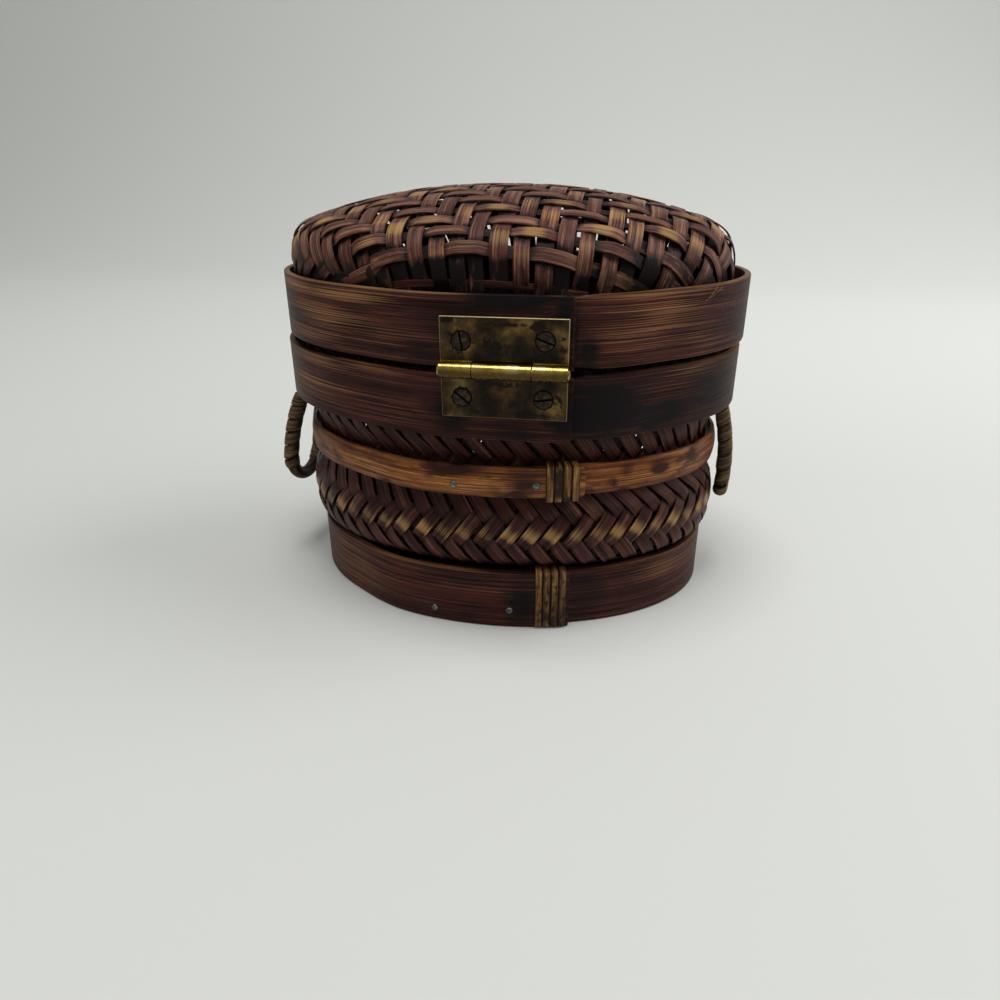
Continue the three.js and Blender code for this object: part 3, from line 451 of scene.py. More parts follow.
def laySplint(bm, samples, half, tone):
    # samples along the splint: its middle, the way out, and how proud, worn and shaded it is
    points, normals, crests, rubs, shades = zip(*samples)
    spots = spotsOn(points, normals, half, crest=crests, worn=rubs, shaded=shades)
    bendStrip(bm, spots, splintSection, tone, splintMarks)


# the basket's wall: splints that lean both ways
wall = {
    "profile": (
        (58, 2), (62, 2), (67.4, 2.4), (69.6, 6), (69.6, 20.6), (72.6, 22.4), (74.6, 26), (75.5, 33),
        (74.7, 41), (71.6, 47.1), (71.5, 59.7), (73.3, 67), (73.7, 77), (76.5, 82), (76.6, 87.6),
    ),  # half width and height of the weave's outer face
    "inset": 0.9,  # from that face to the middle of the weave
    "stations": 60,  # on the line through that middle
    "strands": 56,  # each way round
    "wander": 0.06,  # by which a splint strays, as a share of the way to the next
    "rowStep": 4.75,  # height of a crossing, along the wall
    "rowDatum": 40.0,  # height where a row leaning left meets one leaning right
    "halfWidth": 2.28,
    "widths": (0.93, 1.07),
    "lift": 0.68,
    "samples": 6,  # spots for each crossing
    "tone": 0.35,  # the most that chance gives a splint, kept low: painted shade on the wall
    "rub": (0.45, 0.9),  # the least and the most
    "rightWear": (33.4, 3.6),  # height and reach of the band where the splints leaning right are rubbed
    "leftWear": (39.0, 4.2),
    "leftRub": (0.3, 0.5),  # share of that rub on the left, and what is added towards the right
    "leftFade": (5, 35),  # x between which it is added
    "shade": (54, 80),  # heights between which painted shade darkens the wall under the rim
    "footShade": (22, 27),  # heights between which the painted shade above the foot ends
    # the most painted shade
    "dark": 0.9,
}
outerLine, outerReach = smoothLine([Vector(p) for p in wall["profile"]], pieces=8)
wallPoints = []
for i in range(wall["stations"] + 1):
    point, slope = along(outerLine, outerReach, outerReach[-1] * i / wall["stations"])
    wallPoints.append(point + Vector((-slope.y, slope.x)) * wall["inset"])
wallLine, wallReach = smoothLine(wallPoints, pieces=4)
datumReach = min(zip(wallLine, wallReach), key=lambda pair: abs(pair[0].y - wall["rowDatum"]))[1]

# turns that share the outline of a middling oval into equal lengths
ovalSteps, ovalHalf = 720, 73
ovalTurns = [2 * math.pi * i / ovalSteps for i in range(ovalSteps + 1)]
ovalReach = reaches([ovalPoint(ovalHalf, turn)[0] for turn in ovalTurns])


def ovalTurn(share):
    target = (share % 1.0) * ovalReach[-1]
    high = min(bisect_right(ovalReach, target), ovalSteps)
    low = high - 1
    part = (target - ovalReach[low]) / (ovalReach[high] - ovalReach[low])
    return ovalTurns[low] + part * (ovalTurns[high] - ovalTurns[low])


def wallPoint(share, reach):
    turn = ovalTurn(share)
    point, slope = along(wallLine, wallReach, reach)
    halfDepth = point.x - ovalDifference
    place = Vector((point.x * math.cos(turn), halfDepth * math.sin(turn), point.y))
    roundWay = Vector((-point.x * math.sin(turn), halfDepth * math.cos(turn), 0))
    upWay = Vector((slope.x * math.cos(turn), slope.x * math.sin(turn), slope.y))
    return place, roundWay.cross(upWay).normalized()


wallLow = -datumReach / wall["rowStep"] - 0.5
wallHigh = (wallReach[-1] - datumReach) / wall["rowStep"] - 0.5
wallSamples = int((wallHigh - wallLow) * wall["samples"])
for name, lean, wear in (("wall_splints_right", 1, "rightWear"), ("wall_splints_left", -1, "leftWear")):
    bm = newMesh()
    for strand in range(wall["strands"]):
        wander = chance.uniform(-wall["wander"], wall["wander"])
        half = wall["halfWidth"] * chance.uniform(*wall["widths"])
        tone = wall["tone"] * chance.random()
        rub = chance.uniform(*wall["rub"])
        samples = []
        for i in range(wallSamples + 1):
            level = wallLow + (wallHigh - wallLow) * i / wallSamples
            share = (strand + wander + lean * level / 2) / wall["strands"]
            point, normal = wallPoint(share, (level + 0.5) * wall["rowStep"] + datumReach)
            worn = rub * bell(point.z, *wall[wear])
            if lean < 0:
                least, added = wall["leftRub"]
                worn *= least + added * smoothStep(point.x, *wall["leftFade"])
            # painted shade under the rim and above the foot
            dark = smoothStep(point.z, *wall["shade"]) + 1 - smoothStep(point.z, *wall["footShade"])
            point -= normal * (wall["lift"] * floatWave(level) * lean)
            samples.append((point, normal, -lean * floatCrest(level), worn, wall["dark"] * dark))
        laySplint(bm, samples, half, tone)
    makePiece(bm, name, [wovenBamboo], "basket", "woven_bamboo", "woven_basket")

# the floor, woven of straight splints inside the base hoop
floorWeave = {
    "halfWidth": 66.3, "height": 2.85, "pitch": 5.7, "splint": 2.2, "lift": 0.45, "samples": 5,
    "short": 0.5, "least": 4,  # how far a splint ends inside the oval, and the least half length
    "mark": 0.1,  # wear and shade
}
bm = newMesh()
floorWidth, floorDepth = floorWeave["halfWidth"], floorWeave["halfWidth"] - ovalDifference
for sign, across, reach in ((1, floorWidth, floorDepth), (-1, floorDepth, floorWidth)):
    pitch, mark = floorWeave["pitch"], floorWeave["mark"]
    count = int(across / pitch)
    for line in range(-count, count + 1):
        place = line * pitch
        half = reach * math.sqrt(1 - (place / across) ** 2) - floorWeave["short"]
        if half < floorWeave["least"]:
            continue
        steps = int(2 * half / pitch * floorWeave["samples"])
        samples = []
        for i in range(steps + 1):
            run = -half + 2 * half * i / steps
            phase = line + run / pitch
            height = floorWeave["height"] + floatWave(phase) * sign * floorWeave["lift"]
            point = Vector((place, run, height) if sign > 0 else (run, place, height))
            samples.append((point, upward, floatCrest(phase) * sign, mark, mark))
        laySplint(bm, samples, floorWeave["splint"], chance.random())
makePiece(bm, "floor_splints", [wovenBamboo], "basket", "woven_bamboo", "woven_basket")

# the lid's weave: a flat square weave, bent down round an oval crown
dome = {
    "sideHalf": 74.5,  # half width of the side's outer face
    "sideTop": 113.2,
    "shoulder": 15.0,  # radius of the bend between crown and side
    "turn": 73.5,  # degrees of that bend
    "rise": 9.4,  # of the crown
    "power": 2.2,
    "edge": 91.8,  # height of the weave's edge, inside the hoop
    "lean": -1.5,  # by which the crown sits to the left
    "leanFrom": 108.6,
    "inset": 0.5,  # from the outer face to the middle of the weave
    "crossLines": (6.4, 6.23),  # x of a splint that runs front to back, and the pitch
    "longLines": (-51.3, 6.3),  # y of a splint that runs from end to end, and the pitch
    "wander": 0.4,
    "slant": 0.012,
    "widths": (0.88, 1.1),
    "tone": (0.75, 0.6),  # the least, and what chance adds; above the wall's: painted light on the lid
    "rub": (0.6, 1.2),
    "step": 1.25,  # between spots
    "lift": 0.55,
    "hem": (0.5, -16, -4),  # by how much the lift falls towards the edge, between two places before it
    "bulge": (1.6, 10, 5),  # extra lift of the long splints on the shoulder, its place and reach
    "patchTurn": (2.4, 3.9),  # turns of the gold's pattern from splint to splint and float to float
    "patchSwing": 0.4,
    "crownRub": 0.7,
    "sideRub": (0.95, 4, 9),  # rub past the crown, its place and reach
    "sideShade": (0.85, 6),  # painted shade on the side, from this far past the crown
    "sideFull": -12,  # and full this far from the edge
    "hollows": ((-11, 8), (45, 9)),  # x and reach of the painted shade of hollows beneath the front shoulder
    "hollowShade": (0.95, 10, 14),
    "fewest": 6,  # spots at which a splint is too short to lay
}
shoulder = dome["shoulder"] - dome["inset"]
fullTurn = math.radians(dome["turn"])
crownHalf = dome["sideHalf"] - dome["shoulder"] + shoulder * math.cos(fullTurn)
crownDepth = crownHalf - ovalDifference
crownEdge = dome["sideTop"] + shoulder * math.sin(fullTurn)
shoulderReach = shoulder * fullTurn
domeReach = shoulderReach + dome["sideTop"] - dome["edge"]


def domePoint(flatX, flatY):
    # a point of the flat weave, where it lies once the weave is bent, and how far past the crown that is
    radius = math.hypot(flatX / crownHalf, flatY / crownDepth)
    if radius <= 1:
        point = Vector((flatX, flatY, crownEdge + dome["rise"] * (1 - radius ** dome["power"])))
        past = 0.0
    else:
        turn = math.atan2(flatY / crownDepth, flatX / crownHalf)
        for _ in range(12):  # closes in on the nearest point of the crown's edge
            foot = Vector((crownHalf * math.cos(turn), crownDepth * math.sin(turn)))
            heading = Vector((-crownHalf * math.sin(turn), crownDepth * math.cos(turn)))
            offset = Vector((flatX, flatY)) - foot
            turn += offset.dot(heading) / (heading.length_squared + offset.dot(foot))
        outward = Vector((heading.y, -heading.x)).normalized()
        past = offset.dot(outward)
        left = max(fullTurn - past / shoulder, 0)
        point = (foot + outward * shoulder * (math.cos(left) - math.cos(fullTurn))).to_3d()
        point.z = dome["sideTop"] + shoulder * math.sin(left) - max(past - shoulderReach, 0)
    point.x += dome["lean"] * smoothStep(point.z, dome["leanFrom"], crownEdge)
    return point, past


def domeNormal(flatX, flatY):
    reach = 0.4
    right = domePoint(flatX + reach, flatY)[0] - domePoint(flatX - reach, flatY)[0]
    back = domePoint(flatX, flatY + reach)[0] - domePoint(flatX, flatY - reach)[0]
    return right.cross(back).normalized()


# limit is how far out the lines go, longest how far along them, and gold the middle of the rubbed pattern
lidSplints = {
    "lid_cross_splints": {
        "sign": 1, "lines": "crossLines", "crossed": "longLines", "half": 2.45,
        "limit": crownHalf + 16, "longest": 100, "gold": 0.6,
    },
    "lid_long_splints": {
        "sign": -1, "lines": "longLines", "crossed": "crossLines", "half": 1.9,
        "limit": crownDepth + 10, "longest": 120, "gold": 0.4,
    },
}


def lidSample(values, index, place, slant, run, rub):
    # what a lid splint is like at a distance along it, in a list that is empty past the weave's edge
    sign = values["sign"]
    flat = (place + slant * run, run) if sign > 0 else (run, place + slant * run)
    point, past = domePoint(*flat)
    if past >= domeReach:
        return []
    start, pitch = dome[values["crossed"]]
    phase = index + (run - start) / pitch
    lift = floatWave(phase) * sign
    normal = domeNormal(*flat)
    fade = 1 - rising(past - domeReach, *dome["hem"])
    if sign < 0 and lift > 0:
        bulge, *band = dome["bulge"]
        fade += bulge * bell(past, *band)
    floatNumber = round((phase - 1.5 + sign) / 4)  # a splint's floats come every four crossings
    byIndex, byFloat = dome["patchTurn"]
    gold = values["gold"] + dome["patchSwing"] * math.sin(byIndex * index + byFloat * floatNumber)
    sideRub, *band = dome["sideRub"]
    gold *= dome["crownRub"] if past == 0 else sideRub * bell(past, *band)
    # painted shade down the side, and over the crosses that lie in hollows beneath the front shoulder
    hollow = max(bell(point.x, x, reach) for x, reach in dome["hollows"]) * (flat[1] < 0)
    dark = rising(past, *dome["sideShade"], domeReach + dome["sideFull"])
    dark = max(dark, hollow * rising(past, *dome["hollowShade"]))
    point += normal * (dome["lift"] * lift * fade)
    return [(point, normal, floatCrest(phase) * sign, rub * gold, dark)]


for name, values in lidSplints.items():
    bm = newMesh()
    first, pitch = dome[values["lines"]]
    low = math.ceil((-values["limit"] - first) / pitch)
    high = math.floor((values["limit"] - first) / pitch)
    for index in range(low, high + 1):
        place = first + index * pitch + chance.uniform(-dome["wander"], dome["wander"])
        slant = chance.uniform(-dome["slant"], dome["slant"])
        half = values["half"] * chance.uniform(*dome["widths"])
        least, added = dome["tone"]
        tone = least + added * chance.random()
        rub = chance.uniform(*dome["rub"])
        count = int(values["longest"] / dome["step"])
        samples = []
        for i in range(-count, count + 1):
            samples += lidSample(values, index, place, slant, i * dome["step"], rub)
        if len(samples) > dome["fewest"]:
            laySplint(bm, samples, half, tone)
    makePiece(bm, name, [wovenBamboo], "lid", "woven_bamboo", "lid_weave")

# odd splints on the lid's front: one slack and slanting, one thin along the hoop. x, z and how far out
oddSplints = {
    "lid_slack_splint": {
        "half": 1.9, "line": ((-45, 108, 0.2), (-41, 111.4, 0.9), (-35, 114.2, 0.9), (-28, 117, -0.6)),
    },
    "lid_edge_splint": {
        "half": 1.0,
        "line": ((-34, 109.5, 0), (-22, 111.9, 0), (0, 112.7, 0), (14, 111.8, 0), (30, 109.5, 0)),
    },
}
oddMark = 0.12  # wear and shade of both
sideHalf = dome["sideHalf"] - dome["inset"]
sideDepth = sideHalf - ovalDifference
for name, values in oddSplints.items():
    corners = []
    for x, z, out in values["line"]:
        corners.append(Vector((x, -(sideDepth + out) * math.sqrt(1 - (x / sideHalf) ** 2), z)))
    samples = []
    for point in smoothLine(corners, pieces=6)[0]:
        normal = Vector((point.x / sideHalf**2, point.y / sideDepth**2, 0)).normalized()
        samples.append((point, normal, 1, oddMark, oddMark))
    bm = newMesh()
    laySplint(bm, samples, values["half"], chance.random())
    makePiece(bm, name, [wovenBamboo], "lid", "woven_bamboo", "lid_weave")

# hoops: bent strips whose outer end laps over the inner one. The ends are given by x, corners are the radii
# of the outer end's lower and upper corner, and crown is how far a half-round strip falls away at its edges.
# ends and below darken those parts, and edge pales the edges. Worn and stained places lie on the hinge side:
# x, height as a share, reach in x and in height, amount
hoops = {
    "lid_hoop": {
        "halfWidth": 79, "bottom": 90.5, "top": 110.9, "outerEnd": 26.2, "innerEnd": -6, "seated": True,
        "shift": 0.8, "round": 0.5, "corners": (0.3, 1.0), "ends": 0.1, "edge": 0.55, "below": 0.1,
        "body": "lid", "finish": stainedBamboo, "slot": "stained_bamboo",
        "worn": (
            (-64, 0.9, 12, 0.12, 0.75), (-40, 0.86, 16, 0.13, 0.85), (-27, 0.70, 12, 0.1, 0.5),
            (-50, 0.5, 18, 0.25, 0.7), (-30, 0.38, 14, 0.2, 0.3), (-60, 0.2, 16, 0.2, 0.5),
            (52, 0.70, 14, 0.3, 0.55), (44, 0.45, 18, 0.3, 0.42), (62, 0.35, 12, 0.3, 0.35),
            (46, 0.97, 24, 0.05, 0.6),
        ),
        "stained": (
            (-4, 0.55, 14, 0.6, 0.75), (9, 0.95, 18, 0.2, 0.95), (25, 0.5, 4, 0.8, 0.9),
            (31, 0.2, 4, 0.35, 0.9), (-16, 0.2, 10, 0.3, 0.5), (75, 0.4, 9, 0.8, 0.5),
        ),
    },
    "rim_hoop": {
        "halfWidth": 79, "bottom": 69.2, "top": 88.4, "outerEnd": 27.2, "innerEnd": -6, "seated": True,
        "round": 0.5, "corners": (2.0, 0.4), "ends": 0.15, "edge": 0.4, "below": 0.1,
        "body": "basket", "finish": stainedBamboo, "slot": "stained_bamboo",
        "worn": (
            (-58, 0.9, 20, 0.12, 0.75), (-36, 0.93, 16, 0.08, 0.65), (-60, 0.5, 16, 0.4, 0.5),
            (-30, 0.1, 14, 0.1, 0.45), (62, 0.9, 14, 0.12, 0.5), (46, 0.5, 10, 0.3, 0.2),
        ),
        "stained": (
            (-8, 0.5, 10, 0.8, 0.55), (36, 0.45, 18, 0.7, 1.0), (52, 0.25, 18, 0.4, 0.8),
            (12, 0.1, 14, 0.3, 0.6), (68, 0.4, 14, 0.7, 0.75),
        ),
    },
    "waist_hoop": {
        "halfWidth": 74.8, "bottom": 48.3, "top": 58.5, "outerEnd": 31, "innerEnd": -15, "seated": False,
        "round": 0.4, "corners": (1.2, 1.2), "crown": 0.8, "ends": 0.55, "edge": 0.45, "below": 0.55,
        "body": "basket", "finish": halfRoundBamboo, "slot": "half_round_bamboo",
        "worn": ((-35, 0.5, 14, 0.3, 0.45), (50, 0.4, 12, 0.3, 0.3), (-6, 0.3, 8, 0.2, 0.4)),
        "stained": (
            (-62, 0.6, 6, 0.7, 0.6), (-52, 0.25, 4, 0.3, 0.6), (-7, 0.85, 10, 0.28, 0.95),
            (4, 0.3, 6, 0.4, 0.6), (13, 0.45, 7, 0.8, 0.95), (40, 0.3, 1.8, 0.25, 0.8),
            (44, 0.72, 2.6, 0.25, 0.9), (54, 0.65, 3.6, 0.3, 0.95), (52, 0.1, 5, 0.2, 0.5),
            (64, 0.75, 3, 0.3, 0.8), (68, 0.4, 4, 0.8, 0.5),
        ),
    },
    "base_hoop": {
        "halfWidth": 72.9, "bottom": 0, "top": 20.6, "outerEnd": 27.3, "innerEnd": -24, "seated": False,
        "round": 0.5, "corners": (0.4, 0.4), "ends": 0.2, "edge": 0.3, "below": 0.1,
        "body": "basket", "finish": stainedBamboo, "slot": "stained_bamboo",
        "worn": (
            (-25, 0.9, 20, 0.1, 0.3), (-2, 0.9, 10, 0.1, 0.3), (-50, 0.5, 24, 0.5, 0.5),
            (48, 0.08, 14, 0.1, 0.4), (58, 0.75, 12, 0.25, 0.5),
        ),
        "stained": ((13, 0.45, 7, 0.9, 0.7), (33, 0.5, 9, 0.9, 0.6), (52, 0.45, 16, 0.6, 0.35)),
    },
}
lapRamp = (26, 2)  # degrees before the inner end over which a strip climbs onto it
seatFade = (15, 55)  # x over which a seated hoop goes back to its oval
endSteps = (0, 0.08, 0.2, 0.4, 0.7, 1.1, 1.6, 2.2)  # stations in mm from a hoop's outer end
hoopStep = 1.5  # degrees between the other stations
paring = (0.8, -40, -30)  # off both edges of the end beneath, between two places before that end
hoopFront = (0.0, 0.3)  # how far a face looks to the front where worn and stained places come in
hoopEnds, hoopBelow, hoopEdge = (48, 70), (0.1, 0.9), (0.94, 0.99)  # where ends, below and edge come in
headingStep = 0.01  # turn each way that gives a hoop's direction
edgeForm = {"start": 0.25, "outer": 0.75, "inner": 0.35}  # shares of a strip's edge rounding
stripColumns = [-0.86, -0.72, -0.57, -0.43, -0.29, -0.14]  # shares across where a strip has its lines


def hoopLine(hoop):
    # points along the middle of a hoop's strip from its outer end, with the way out at each
    halfWidth = hoop["halfWidth"] - strip / 2
    halfDepth = halfWidth - ovalDifference
    lap = strip + seatGap
    outerTurn = -math.acos(hoop["outerEnd"] / halfWidth)
    innerTurn = -math.acos(hoop["innerEnd"] / halfWidth)
    whole = outerTurn - innerTurn + 2 * math.pi
    ramp = [innerTurn - math.radians(degrees) for degrees in lapRamp]

    def middle(turn):
        point, outward = ovalPoint(halfWidth, turn)
        point += outward * lap * smoothStep(turn, *ramp)
        # under the hinge, first the end beneath and then the one on top lie flat
        if hoop["seated"] and turn < -1.5 * math.pi and point.x > hoop["innerEnd"] and point.y < 0:
            point.y += (-halfDepth - point.y) * (1 - smoothStep(point.x, *seatFade))
        if hoop["seated"] and turn > innerTurn:
            point.y = -(halfDepth + lap)
        return point

    count = math.ceil(math.degrees(whole) / hoopStep)
    turns = [outerTurn - step / halfWidth for step in endSteps]
    turns += [outerTurn - whole * i / count for i in range(2, count + 1)]
    line = []
    for turn in turns:
        heading = (middle(min(turn + headingStep, outerTurn)) - middle(turn - headingStep)).normalized()
        line.append((middle(turn), Vector((heading.y, -heading.x))))
    return line


def stripSection(half, edgeRound, crown=0.0):
    # across, outer face and inner face of a bent strip with edges that are rounder outside
    face = strip / 2
    across = [-1, -1 + edgeForm["start"] * edgeRound / half, -1 + edgeRound / half]
    across += stripColumns
    section = []
    for a in across + [0] + [-a for a in reversed(across)]:
        past = max(abs(a) * half - (half - edgeRound), 0)
        drop = edgeRound - math.sqrt(max(edgeRound**2 - past**2, 0))
        outer = face - drop * edgeForm["outer"] - crown * a * a
        section.append((a, outer, -face + drop * edgeForm["inner"]))
    return section


def patchAmount(places, x, height):
    # the strongest of the worn or stained places at a point
    return max(amount * bell(x, px, wide) * bell(height, pz, tall) for px, pz, wide, tall, amount in places)


def hoopMarks(hoop):
    def marks(spot, across):
        x, height = spot["centre"].x, (across + 1) / 2
        front = smoothStep(-spot["out"].y, *hoopFront)
        stained = max(
            patchAmount(hoop["stained"], x, height) * front,
            rising(abs(x), hoop["ends"], *hoopEnds),
            rising(-across, hoop["below"], *hoopBelow),
        )
        worn = patchAmount(hoop["worn"], x, height) * front
        return worn, stained, rising(abs(across), hoop["edge"], *hoopEdge)

    return marks


def hoopSpots(hoop):
    line = hoopLine(hoop)
    lengths = reaches([point for point, outward in line])
    spots = []
    for (point, outward), length in zip(line, lengths):
        pared = rising(length - lengths[-1], *paring)
        cuts = []
        for radius in hoop["corners"]:
            short = max(radius - length, 0)
            cuts.append(radius - math.sqrt(max(radius**2 - short**2, 0)) + pared)
        bottom, top = hoop["bottom"] + cuts[0], hoop["top"] - cuts[1]
        centre = Vector((point.x + hoop.get("shift", 0), point.y, (bottom + top) / 2))
        spots.append(spotAt(centre, upward, outward.to_3d(), (top - bottom) / 2, length))
    return spots


for name, hoop in hoops.items():
    section = stripSection((hoop["top"] - hoop["bottom"]) / 2, hoop["round"], hoop.get("crown", 0.0))
    finish = [hoop["finish"]], hoop["body"], hoop["slot"]
    stripPiece(hoopSpots(hoop), section, hoopMarks(hoop), name + "_strip", *finish, name)

# fine fibres that stand off the lid hoop's upper edge on the right: x, y and z of points along each
strayFibres = {
    "lines": (
        ((63.2, -35.6, 106.6), (66.3, -32.6, 108.4), (68.3, -30.6, 110.0)),
        ((64.3, -34.5, 107.4), (65.8, -33.2, 109.2), (67.0, -32.0, 111.2)),
        ((65.0, -33.9, 108.2), (66.2, -32.9, 109.2), (68.6, -30.6, 109.4)),
    ),
    "out": (0.6, -0.8, 0), "radius": 0.08, "sides": 6, "tone": 1.5,
}
bm = newMesh()
for ends in strayFibres["lines"]:
    points = smoothLine([Vector(end) for end in ends], pieces=5)[0]
    normals = [Vector(strayFibres["out"])] * len(points)
    radii = [strayFibres["radius"]] * len(points)
    spots = spotsOn(points, normals, strayFibres["radius"], thick=radii)
    bendTube(bm, spots, strayFibres["sides"], strayFibres["tone"])
makePiece(bm, "lid_hoop_stray_fibres", [woundCane], "lid", "stained_bamboo", "lid_hoop")

# the liners inside the rim and the lid, darkened with painted shade where the gap between the hoops shows
# them
# bottom, top, the side of the seam and the body
liners = {"rim_liner": (83, 89.3, 1, "basket"), "lid_liner": (89.6, 99, -1, "lid")}
# half width of a liner's middle, stations, and the turn where its ends meet
linerShape = {"half": 73.4, "steps": 180, "start": 1.2, "round": 0.5}
# both are painted shade
linerShade, linerSeam = 0.35, (0.3, 0.8)  # shade of a liner, and where across it the seam's shade comes in


def linerMarks(spot, across):
    return 0, linerShade + smoothStep(across * spot["seam"], *linerSeam), 0


for name, (bottom, top, seam, body) in liners.items():
    steps = linerShape["steps"]
    turns = [2 * math.pi * i / steps + linerShape["start"] for i in range(steps + 1)]
    line = [ovalPoint(linerShape["half"], turn) for turn in turns]
    half = (top - bottom) / 2
    spots = []
    for (point, outward), length in zip(line, reaches([point for point, outward in line])):
        centre = Vector((point.x, point.y, (bottom + top) / 2))
        spots.append(spotAt(centre, upward, outward.to_3d(), half, length, seam=seam))
    section = stripSection(half, linerShape["round"])
    stripPiece(spots, section, linerMarks, name + "_strip", [stainedBamboo], body, "stained_bamboo", name)

# cane wound round the laps. A winding starts some stations early, and steps across on its way down
# inside. Its stain is stronger low down
cane = {
    "thickness": 0.7, "half": 1.2, "pitch": 2.55, "clearance": 0.2, "bend": 0.75, "turns": 4, "early": 10,
    "across": (0.4, 0.8), "worn": 0.1, "edge": (1.1, 0.7, 1.0), "lowStain": 1.2, "lessUp": 0.4,
}
caneSection = sectionOf(cane["thickness"], (
    (-1, 0.1, 1), (-0.85, 0.75, 1), (-0.4, 1, 1), (0.4, 1, 1), (0.85, 0.75, 1), (1, 0.1, 1),
))
# stains are one for each turn
bindings = {
    "base_binding": {"hoop": "base_hoop", "start": 16.9, "bottom": 0.15, "stains": (0.5, 0.65, 0.6, 0.6)},
    "waist_binding": {"hoop": "waist_hoop", "start": 19.9, "bottom": 47.4, "stains": (0.25, 0.8, 0.35, 0.3)},
}


def onLap(line, x):
    # the point at x on a hoop's lapped outer end, and the way out there
    for (a, outA), (b, outB) in zip(line, line[1:]):
        if b.x < x:
            share = (a.x - x) / (a.x - b.x)
            return a.lerp(b, share), outA.lerp(outB, share).normalized()


def windingWay(outside, inside, low, high, bend):
    # once round both layers of a lap, up the outside first: distance out, height, and the way it faces
    steps = 4  # in each rounded corner
    way = [(outside, low + (high - low) * share, 0) for share in (0.2, 0.4, 0.6, 0.8)]
    outer, inner, top, bottom = outside - bend, inside + bend, high - bend, low + bend
    for quarter, (out, height) in enumerate(((outer, top), (inner, top), (inner, bottom), (outer, bottom))):
        for step in range(steps + 1):
            facing = (quarter + step / steps) * math.pi / 2
            way.append((out + bend * math.cos(facing), height + bend * math.sin(facing), facing))
        if quarter == 1:
            way += [(inside, high + (low - high) * share, math.pi) for share in (0.3, 0.7)]
    return way


def bindingMarks(stains):
    def marks(spot, across):
        amount = stains[int(spot["turn"])] * (cane["lowStain"] - cane["lessUp"] * spot["height"])
        return cane["worn"], amount, rising(abs(across), *cane["edge"])

    return marks


for name, values in bindings.items():
    hoop = hoops[values["hoop"]]
    line = hoopLine(hoop)
    away = cane["clearance"] + cane["thickness"] / 2
    way = windingWay(
        strip / 2 + away,
        -strip / 2 - strip - seatGap - away,
        values["bottom"] + cane["thickness"] / 2,
        hoop["top"] + away,
        cane["bend"],
    )
    spots = []
    for i in range(-cane["early"], cane["turns"] * len(way) - cane["early"]):
        out, height, facing = way[i % len(way)]
        part = i % len(way) / len(way)
        turns = i // len(way) + smoothStep(part, *cane["across"])
        point, outward = onLap(line, values["start"] + cane["half"] + cane["pitch"] * turns)
        centre = Vector((point.x + outward.x * out, point.y + outward.y * out, height))
        side = Vector((-outward.y, outward.x, 0))
        face = outward.to_3d() * math.cos(facing) + upward * math.sin(facing)
        up = (height - hoop["bottom"]) / (hoop["top"] - hoop["bottom"])
        spots.append(spotAt(centre, side, face, cane["half"], 0, turn=i / len(way), height=up))
    for spot, length in zip(spots, reaches([spot["centre"] for spot in spots])):
        spot["along"] = length
    marks = bindingMarks(values["stains"])
    stripPiece(spots, caneSection, marks, name + "_cane", [woundCane], "basket", "binding_cane", name)

# handles: U-shaped rods, pared flat where the rim hoop clamps them, with cane wound down each leg
handleShape = {
    "rod": 1.6, "tongue": 1.0, "exitZ": 68.5, "spread": 0.8, "stations": 150, "bends": 10, "sides": 20,
    "legHeights": (76.2, 73, 69.2, 66, 61, 56, 51, 46.5),
    "clear": 1,  # least height of a leg's points above the bend
    "pared": (-2.5, 0.5),  # heights about the exit over which the rod flattens
    "bare": (5, 9),  # heights above the bottom between which the thicker bare bend ends
}
handles = {
    "left_handle": {
        "side": -1, "exitX": 73.7, "legs": 11.4, "bottom": 29.8, "reach": 82.9, "twist": -1.1, "bulge": 0,
        "turns": (5.7, 6.6), "wrapThickness": 1.0, "bend": 2.4,
    },
    "right_handle": {
        "side": 1, "exitX": 74.4, "legs": 8, "bottom": 33.4, "reach": 78.8, "twist": 1, "bulge": 1.0,
        "turns": (5.9, 5.2), "wrapThickness": 0.7, "bend": 2.0,
    },
}
# the cane narrows to a share of its width over the last stations
wrap = {
    "pitch": 5.5, "half": 2.74, "clearance": 0.2, "start": 67.6, "steps": 28, "taper": 22, "end": 0.25,
    "section": (
        (-1, 0.1, 1), (-0.92, 0.8, 1), (-0.5, 1, 1), (0, 1.15, 1), (0.5, 1.2, 1), (0.92, 1.05, 1),
        (1, 0.3, 1),
    ),
    # the second mark darkens the cane's inner side, towards the basket: painted shade
    "worn": (0.6, 0.5, 0.95), "stained": (0.4, -0.1, 0.8), "edge": (1.1, 0.84, 1.0),
}


def handleLine(values):
    exitX, exitZ, legs = values["exitX"], handleShape["exitZ"], values["legs"]
    bendZ = values["bottom"] + legs

    def at(y, z):
        down = min(max((exitZ - z) / (exitZ - values["bottom"]), 0), 1)
        out = values["reach"] - exitX + values["twist"] * y / legs
        out *= math.sin(down ** handleShape["spread"] * math.pi / 2)
        out += values["bulge"] * math.sin(down * math.pi)
        return Vector((values["side"] * (exitX + out), y, z))

    heights = [z for z in handleShape["legHeights"] if z > bendZ + handleShape["clear"]]
    points = [at(-legs, z) for z in heights]
    for i in range(handleShape["bends"] + 1):
        turn = math.pi * i / handleShape["bends"]
        points.append(at(-legs * math.cos(turn), bendZ - legs * math.sin(turn)))
    points += [at(legs, z) for z in reversed(heights)]
    return smoothLine(points, pieces=12)


def handleFrame(line, lengths, distance):
    point, heading = along(line, lengths, distance)
    flat = (Vector((1, 0, 0)) - heading * heading.x).normalized()
    return point, heading, flat, heading.cross(flat)


def wrapMarks(spot, across):
    # painted shade on the side that faces the basket
    worn, stained = rising(spot["outer"], *wrap["worn"]), rising(-spot["outer"], *wrap["stained"])
    return worn, stained, rising(abs(across), *wrap["edge"])


